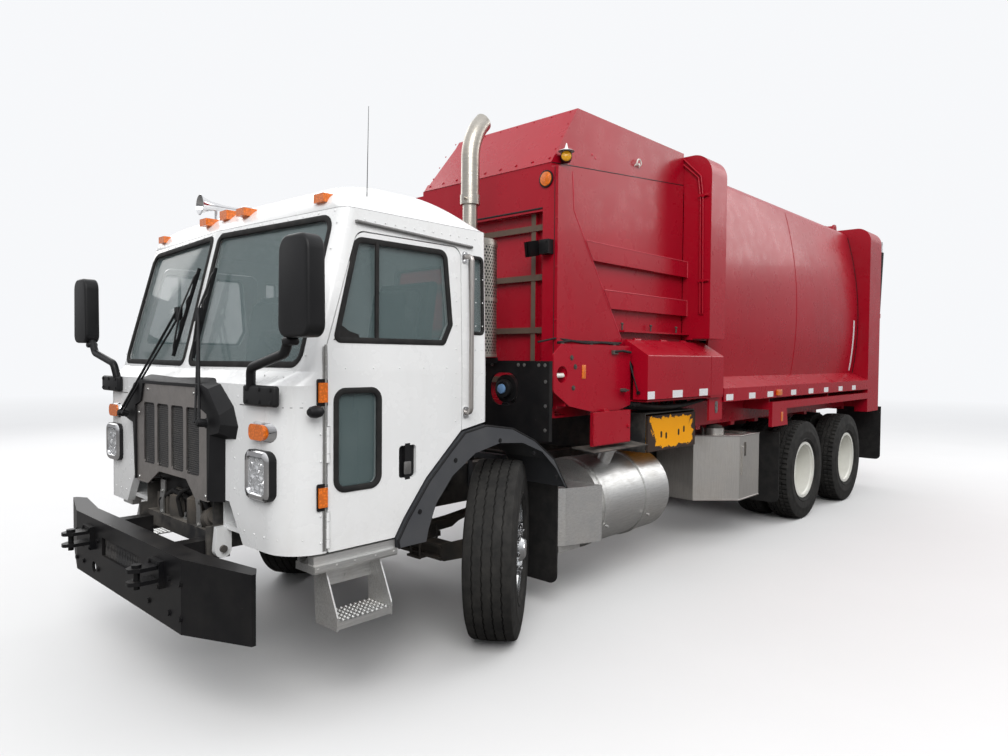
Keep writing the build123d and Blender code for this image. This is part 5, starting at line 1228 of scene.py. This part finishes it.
def cover_details():
    """Strut and tape of the valve cover."""
    strut = Parts()
    strut.rod((-1.3655, 1.075, 1.735), (-1.3655, 1.12, 1.59), 0.009)
    strut.rod((-1.3655, 1.12, 1.59), (-1.3655, 1.17, 1.45), 0.005)
    strut.lathe([(0, -0.006), (0.014, -0.006), (0.014, 0.006), (0, 0.006)], (-1.3655, 1.17, 1.45), X, 14)
    strut.make("cover_strut", "black_plastic", "valve_cover")
    cover = Parts()
    for x, w in ((-1.43, 0.048), (-1.815, 0.076), (-2.235, 0.072)):
        cover.block(x - w, x + w, 1.24, 1.2412, 1.404, 1.46)
    cover.make("cover_reflectors", "white_paint", "valve_cover", look=TAPE)


def rail_details():
    """Tape and amber markers along the body rails, and the lock on the post."""
    rail = Parts()
    for x in (-2.758, -3.22, -3.63, -4.22, -4.71, -5.18, -5.67, -6.16):
        rail.block(x - 0.068, x + 0.068, RAIL_FACE, RAIL_FACE + 0.0012, 1.345, 1.398)
    rail.mirrored().make("rail_reflectors", "white_paint", look=TAPE)
    mark = Parts()
    mark.prism("y", rect(-3.77, 1.352, -3.88, 1.41, 0.012), RAIL_FACE, RAIL_FACE + 0.02)
    mark.mirrored().make("rail_markers", "lens_amber", bevel=0.004)
    lock = Parts()
    lock.prism("y", rect(-2.508, 1.245, -2.556, 1.347, 0.022), 1.205, 1.2085)
    for z in (1.275, 1.318):
        lock.lathe([(0.015, 0.0), (0.015, 0.004), (0, 0.004)], (-2.532, 1.2085, z), Y, 18)
    lock.make("post_lock", "stainless", look=GREY)


def under_cover():
    """Hoses and manifold under the valve shelf, the collar's side plates, and black sheets as painted shade
    in the tail plate's slots.
    """
    hose = Parts()
    for k, (y, z, sag, r) in enumerate(((1.15, 1.366, 0.04, 0.013), (1.12, 1.36, 0.03, 0.015),
            (1.088, 1.364, 0.048, 0.013), (1.06, 1.352, 0.04, 0.016), (1.034, 1.36, 0.056, 0.013),
            (1.012, 1.346, 0.04, 0.016))):
        hose.sweep(hung((-1.402, y, z), (-2.432, y + 0.006 * (k % 3), z - 0.004 * k), sag, 18), r, 10)
    hose.make("valve_hoses", "rubber", sharp=60)
    block = Parts()
    for x in (-1.56, -1.8, -2.04, -2.28):
        block.prism("y", rect(x, 1.306, x - 0.15, 1.374, 0.008), HOPPER_SIDE, 0.99)
        for dx in (0.035, 0.115):
            block.rod((x - dx, 0.99, 1.338), (x - dx, 1.004, 1.338), 0.018, 6)
    for x in (-1.48, -2.36):
        block.block(x - 0.02, x + 0.02, HOPPER_SIDE, 1.17, 1.3745, 1.3825)
    block.make("valve_manifold", "cast", sharp=35, bevel=0.002)
    side = Parts()
    side.block(-2.372, -2.652, 0.966, 0.984, 1.43, 1.875)
    side.block(-2.372, -2.652, 0.98, 1.06, 1.86, 1.872)
    side.mirrored().make("collar_sides", "red_paint", bevel=0.002)
    # Black sheets on the tail plate's face where its slots are cut: painted shade for the dark seen through
    # them.
    slots = Parts()
    for x, z in ((-1.79, 1.112), (-1.865, 1.098), (-2.06, 1.112), (-2.145, 1.132)):
        slots.prism("y", rect(x - 0.013, z - 0.026, x + 0.013, z + 0.026, 0.013), 1.1175, 1.1184)
    slots.make("tail_plate_slot_shade", "yellow_paint", "arm_slide", look=BLACK)


def shell_details():
    """Weld seam round the shell, a black strip where it meets the rear ring as a painted shadow for the gap
    there, and the tape beside it.
    """
    def band(parts, x, z0, z1, half, thick, s=1):
        path = [(x, s * (shell_y(z0 + (z1 - z0) * k / 30) + thick * 0.5), z0 + (z1 - z0) * k / 30)
                for k in range(31)]
        parts.strip(path, half, thick, X)
    seam, gap_shadow, strip = Parts(), Parts(), Parts()
    for s in (1, -1):
        band(seam, -4.64, 1.49, 3.29, 0.007, 0.0022, s)
        band(gap_shadow, -6.734, 1.49, 3.29, 0.005, 0.003, s)
    band(strip, -6.585, 1.575, 2.21, 0.024, 0.001)
    seam.make("shell_seam", "red_paint", sharp=60)
    # The black strip at the rear ring is a painted shadow for the gap.
    gap_shadow.make("shell_gap_shadow", "black_plastic", sharp=60)
    strip.make("shell_tape", "white_paint", look=TAPE, sharp=60)


def exhaust_stack():
    """Muffler guard and stack, with the tip's long bend and slanted end."""
    x, y = MUFFLER
    guard = Parts()
    guard.lathe([(0, 1.7), (0.175, 1.7), (0.175, 2.44), (0, 2.44)], (x, y, 0), Z, 64)
    guard.lathe([(0.047, 2.436), (0.047, 2.67), (0.064, 2.67), (0.064, 2.73), (0.059, 2.73), (0.059, 2.96)],
                (x, y, 0), Z, 40)
    obj = guard.make("exhaust_guard", "exhaust_steel", sharp=35)
    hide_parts("exhaust_stack")
    tip = Parts()
    n, sides, r, bend, wall = 14, 40, 0.059, 0.36, 0.07
    turns = [radians(42) * k / n for k in range(n + 1)]
    path = [(x - bend * (1 - cos(a)), 2.96 + bend * sin(a), a) for a in turns]
    end = (path[-1][0] - 0.02, path[-1][1] + 0.02, radians(50))
    rows = [[(cx + r * cos(t) * cos(a), y + r * sin(t), cz + r * cos(t) * sin(a)) for t in angles(sides)]
            for cx, cz, a in path[:-1] + [end]]
    inner = [[(px + (cx - px) * wall, py + (y - py) * wall, pz + (cz - pz) * wall) for px, py, pz in row]
             for row, (cx, cz, _) in zip(rows[-5:], path[-5:])]
    rows += inner[::-1]
    tip.add([v for row in rows for v in row], ring_faces(len(rows), sides))
    obj = tip.make("exhaust_tip", "exhaust_steel", sharp=50)
    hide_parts("exhaust_stack")


def muffler_details():
    """Black spots on the muffler guard as painted shade in its punched holes, its band clamps and the dial of
    the air cleaner.
    """
    holes = Parts()
    (x, y), r, hole = MUFFLER, 0.1752, 0.0075
    rows, z = 0, 1.722
    while z < 2.425:
        for a in angles(46, (rows % 2) * 0.5):
            c, t = Vector((x + r * cos(a), y + r * sin(a), z)), Vector((-sin(a), cos(a), 0))
            holes.add([c + t * (hole * cos(b)) + Vector((0, 0, hole * sin(b))) for b in angles(6)],
                      [tuple(range(6))])
        z += 0.019
        rows += 1
    # Black hexagons on the guard's skin: painted shade where its punched holes are.
    holes.make("guard_hole_shade", "black_plastic", sharp=80)
    bands = Parts()
    for z in (1.712, 2.062, 2.412):
        bands.lathe([(0.176, -0.01), (0.179, -0.01), (0.179, 0.01), (0.176, 0.01)], (x, y, z), Z, 48)
    bands.bolt((x + 0.06, y + 0.02, 2.7), (1, 0.3, 0), 0.01, 0.03)
    bands.make("guard_bands", "exhaust_steel")
    dial = Parts()
    dial.lathe([(0.06, 0.0), (0.058, 0.01), (0.044, 0.013), (0.04, 0.008), (0, 0.008)], INTAKE, X, 32)
    dial.make("intake_rim", "black_plastic")
    blue = Parts()
    blue.lathe([(0.032, 0.008), (0.03, 0.02), (0.016, 0.024), (0, 0.025)], INTAKE, X, 28)
    blue.make("intake_cap", "black_plastic", look=CAP_BLUE)
    bolts = Parts()
    for y, z in [(y, 1.652) for y in (0.6, 0.72, 0.95, 1.0, 1.12, 1.17)] + [(1.175, z)
            for z in (1.25, 1.4, 1.55)]:
        bolts.bolt((-0.3, y, z), X, 0.008, 0.006)
    bolts.make("panel_bolts", "stainless", look=GREY, sharp=30)


def tank_details():
    """Straps, filler cap and tread by the fuel tank, with the hydraulic tank's fittings and edges."""
    steel = Parts()
    for x in (-1.05, -1.59):
        steel.strip([(x, 0.8 + 0.33 * sin(a), 0.65 + 0.33 * cos(a))
                     for a in [pi * k / 24 for k in range(25)]], 0.024, 0.0025, X)
        steel.rod((x, 1.118, 0.52), (x, 1.14, 0.52), 0.01)
    steel.lathe([(0.056, 0.0), (0.06, 0.01), (0.06, 0.03), (0.05, 0.036), (0, 0.037)], (-1.29, 0.97, 1.035),
                (0, 0.43, 0.9), 28)
    for k in range(9):
        steel.block(-0.69 - 0.033 * k, -0.672 - 0.033 * k, 0.76, 1.0, 0.4305, 0.434)
    steel.make("fuel_tank_fittings", "aluminium", sharp=35)
    hyd = Parts()
    for c, r, z in (((-2.93, 0.7), 0.058, 1.075), ((-3.12, 0.9), 0.09, 1.06)):
        hyd.lathe([(r + 0.016, -0.075), (r + 0.016, -0.062), (r, -0.062)], (c[0], c[1], z), Z, 30)
        for a in angles(6):
            hyd.bolt((c[0] + (r + 0.008) * cos(a), c[1] + (r + 0.008) * sin(a), z - 0.062), Z, 0.005, 0.005,
                     False)
        hyd.lathe([(r * 0.8, 0.0), (r * 0.8, 0.02), (r * 0.5, 0.03), (0, 0.03)], (c[0], c[1], z), Z, 24)
    hyd.sweep(bent([(-2.98, 0.86, 1.0), (-2.98, 0.86, 1.06), (-3.0, 0.7, 1.1), (-3.02, 0.55, 1.06)], 0.03),
              0.013, 10)
    hyd.block(-3.3, -3.46, 0.9, 1.06, 1.0005, 1.012)
    hyd.block(-3.258, -3.232, 1.15, 1.156, 0.81, 0.935)
    hyd.make("hydraulic_tank_fittings", "cast", sharp=35)
    edge = Parts()
    loop = mm([(-2823, 850, 1000), (-3127, 1150, 1000), (-3555, 1150, 1000)])
    for z in (0.9985, 0.412):
        edge.strip([(a[0], a[1] + 0.001, z) for a in loop], 0.006, 0.003, Z)
    edge.make("hydraulic_tank_edges", "stainless")


def rear_details():
    """Lamps and nuts at the back, with the bolt rows of the mudflaps."""
    red, amber, rims = Parts(), Parts(), Parts()
    for z, target in ((1.36, red), (1.24, red), (1.48, amber)):
        rims.lathe([(0.056, 0.0), (0.056, 0.006), (0.05, 0.008)], (TAIL_X, 1.135, z), (-1, 0, 0), 24)
        target.lathe([(0.05, 0.002), (0.048, 0.01), (0.03, 0.014), (0, 0.015)], (TAIL_X, 1.135, z),
                     (-1, 0, 0), 24)
    red.mirrored().make("tail_lamps", "lens_amber", look=LENS_RED)
    amber.mirrored().make("tail_turn_lamps", "lens_amber")
    rims.mirrored().make("tail_lamp_rims", "black_plastic")
    nuts = Parts()
    for y in (-0.6, -0.2, 0.2, 0.6):
        nuts.bolt((-7.356, y, 0.92), (-1, 0, 0), 0.012, 0.008)
    for x, y0, z in ((-0.64, 0.72, 0.915), (-3.956, 0.74, 0.955), (-7.444, 0.66, 1.055)):
        for k in range(4):
            nuts.bolt((x, y0 + k * 0.088, z), X, 0.008, 0.006)
    nuts.mirrored().make("flap_bolts", "stainless", look=GALV, sharp=30)


def bumper_details():
    """Mesh insert and bolts of the bumper."""
    net = Parts()
    for k in range(24):
        y = -0.292 + 0.0232 * k
        for y0, y1 in ((y, y + 0.02), (y + 0.02, y)):
            net.strip([(MESH_X, y0, 0.582), (MESH_X, y1, 0.698)], 0.0018, 0.0015, Y)
    net.make("bumper_mesh", "black_steel", look=NET)
    bolts = Parts()
    for x, across_y, heights, r, h in ((1.728, (0.36, 0.6, 0.72), (0.66, 0.5), 0.012, 0.009),
                                       (1.752, (0.43, 0.53), (0.612, 0.716), 0.009, 0.007)):
        for y, z in [(y, z) for y in across_y for z in heights]:
            bolts.bolt((x, y, z), X, r, h)
    bolts.mirrored().make("bumper_bolts", "black_steel", sharp=30)


def step_details():
    """Round grip studs of the boarding steps and the plate's bolts."""
    studs = Parts()
    for i in range(11):
        for j in range(6):
            x, y = 0.938 + 0.0275 * i, 1.062 + 0.027 * j
            studs.lathe([(0.0085, 0.0), (0.007, 0.0035), (0.0045, 0.0036), (0.003, 0.0008)], (x, y, 0.478),
                        Z, 8)
    for x in (0.95, 1.075, 1.2):
        for z in (0.63, 0.71):
            studs.bolt((x, 1.053, z), Y, 0.006, 0.004)
    for x in (0.87, 0.98, 1.1, 1.2, 1.3):
        studs.rivet((x, 1.172, 0.729), Y, 0.006)
    studs.mirrored().make("step_grips", "aluminium", "cab", sharp=35)


def fender_details():
    """Bolts and rolled lip of the front fenders."""
    lip = Parts()
    pts = mm([(829, 737), (836, 778), (778, 870), (632, 1055), (477, 1198), (374, 1288), (209, 1316),
              (-10, 1284), (-211, 1197), (-400, 1065), (-535, 868)])
    lip.sweep([(x, 1.166, z - 0.004) for x, z in pts], 0.0065, 8)
    for x, z in ((0.7, 0.93), (0.45, 1.17), (0.1, 1.25), (-0.2, 1.15), (-0.42, 0.98)):
        lip.bolt((x, FENDER_SIDE, z - 0.03), Y, 0.009, 0.005)
    lip.mirrored().make("fender_lips", "black_plastic", sharp=35)


def seat_pads():
    """Crowned cushion and back pad of each seat, blown up as cloth, with piping after."""
    stage = bpy.context.scene
    for name, centre, half, lean in (("seat_cushion", (0.715, 0.72, 1.553), (0.225, 0.215, 0.036), 0.0),
                                     ("seat_back", (0.522, 0.72, 1.835), (0.036, 0.2, 0.255), -0.145)):
        mesh = bpy.data.meshes.new(name)
        bm = bmesh.new()
        bmesh.ops.create_cube(bm, size=2.0)
        bmesh.ops.scale(bm, vec=half, verts=bm.verts)
        bmesh.ops.bevel(bm, geom=list(bm.edges), offset=0.024, segments=3, affect="EDGES")
        bmesh.ops.rotate(bm, cent=(0, 0, 0), matrix=Matrix.Rotation(lean, 3, "Y"), verts=bm.verts)
        bmesh.ops.translate(bm, vec=(centre[0] + SHIFT, centre[1], centre[2]), verts=bm.verts)
        bm.to_mesh(mesh)
        bm.free()
        obj = bpy.data.objects.new(name + "_left", mesh)
        stage.collection.objects.link(obj)
        bpy.context.view_layer.objects.active = obj
        obj.data.remesh_voxel_size = PAD_VOXEL
        with bpy.context.temp_override(object=obj, active_object=obj, selected_objects=[obj]):
            bpy.ops.object.voxel_remesh()
        start = [v.co.copy() for v in obj.data.vertices]
        cloth = obj.modifiers.new("cloth", "CLOTH")
        cloth.settings.use_pressure = True
        cloth.settings.uniform_pressure_force = 4.0
        cloth.settings.quality = 5
        cloth.settings.effector_weights.gravity = 0.0
        for frame_number in range(1, 21):
            stage.frame_set(frame_number)
        done = obj.evaluated_get(bpy.context.evaluated_depsgraph_get()).to_mesh()
        ends = [v.co.copy() for v in done.vertices]
        obj.modifiers.remove(cloth)
        stage.frame_set(1)
        for v, a, b in zip(obj.data.vertices, start, ends):
            step = b - a
            v.co = a + step * min(1.0, PAD_CAP / max(step.length, 1e-9))
        for v in obj.data.vertices:
            if name == "seat_cushion":
                v.co.z = max(v.co.z, SEAT_BASE)
            else:
                v.co.x = max(v.co.x, 0.5405 - (v.co.z - 1.5) * 0.1613 + SHIFT)
        for f in obj.data.polygons:
            f.use_smooth = True
        obj.data.materials.clear()
        obj.data.materials.append(SEAT_CLOTH)
        twin = bpy.data.objects.new(name + "_right", obj.data.copy())
        for v in twin.data.vertices:
            v.co.y = -v.co.y
        twin.data.flip_normals()
        stage.collection.objects.link(twin)
        for pad in (obj, twin):
            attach(pad, "cab")
    piping = Parts()
    loop = rect(0.492, 0.507, 0.938, 0.933, 0.03)
    piping.sweep([(x, y, 1.556) for x, y in loop], 0.0035, 8, closed=True)
    piping.mirrored().make("seat_piping", "seat_vinyl", "cab", look=RUBBER, sharp=60)


set_camera()
set_world()
set_lights()
set_floor()
dress_frame()
wheels()
window_seals()
wipers()
headlamps()
front_lamps()
grille_details()
rivets()
roof_fittings()
door_details()
mirror_heads()
front_bay()
canopy_lap()
hopper_gap_shadows()
hopper_lamps()
bay_frame()
beads_and_hooks()
canopy_eye()
ring_pipes()
low_front_fittings()
service_door()
cover_details()
rail_details()
under_cover()
shell_details()
exhaust_stack()
muffler_details()
tank_details()
rear_details()
bumper_details()
step_details()
fender_details()
seat_pads()
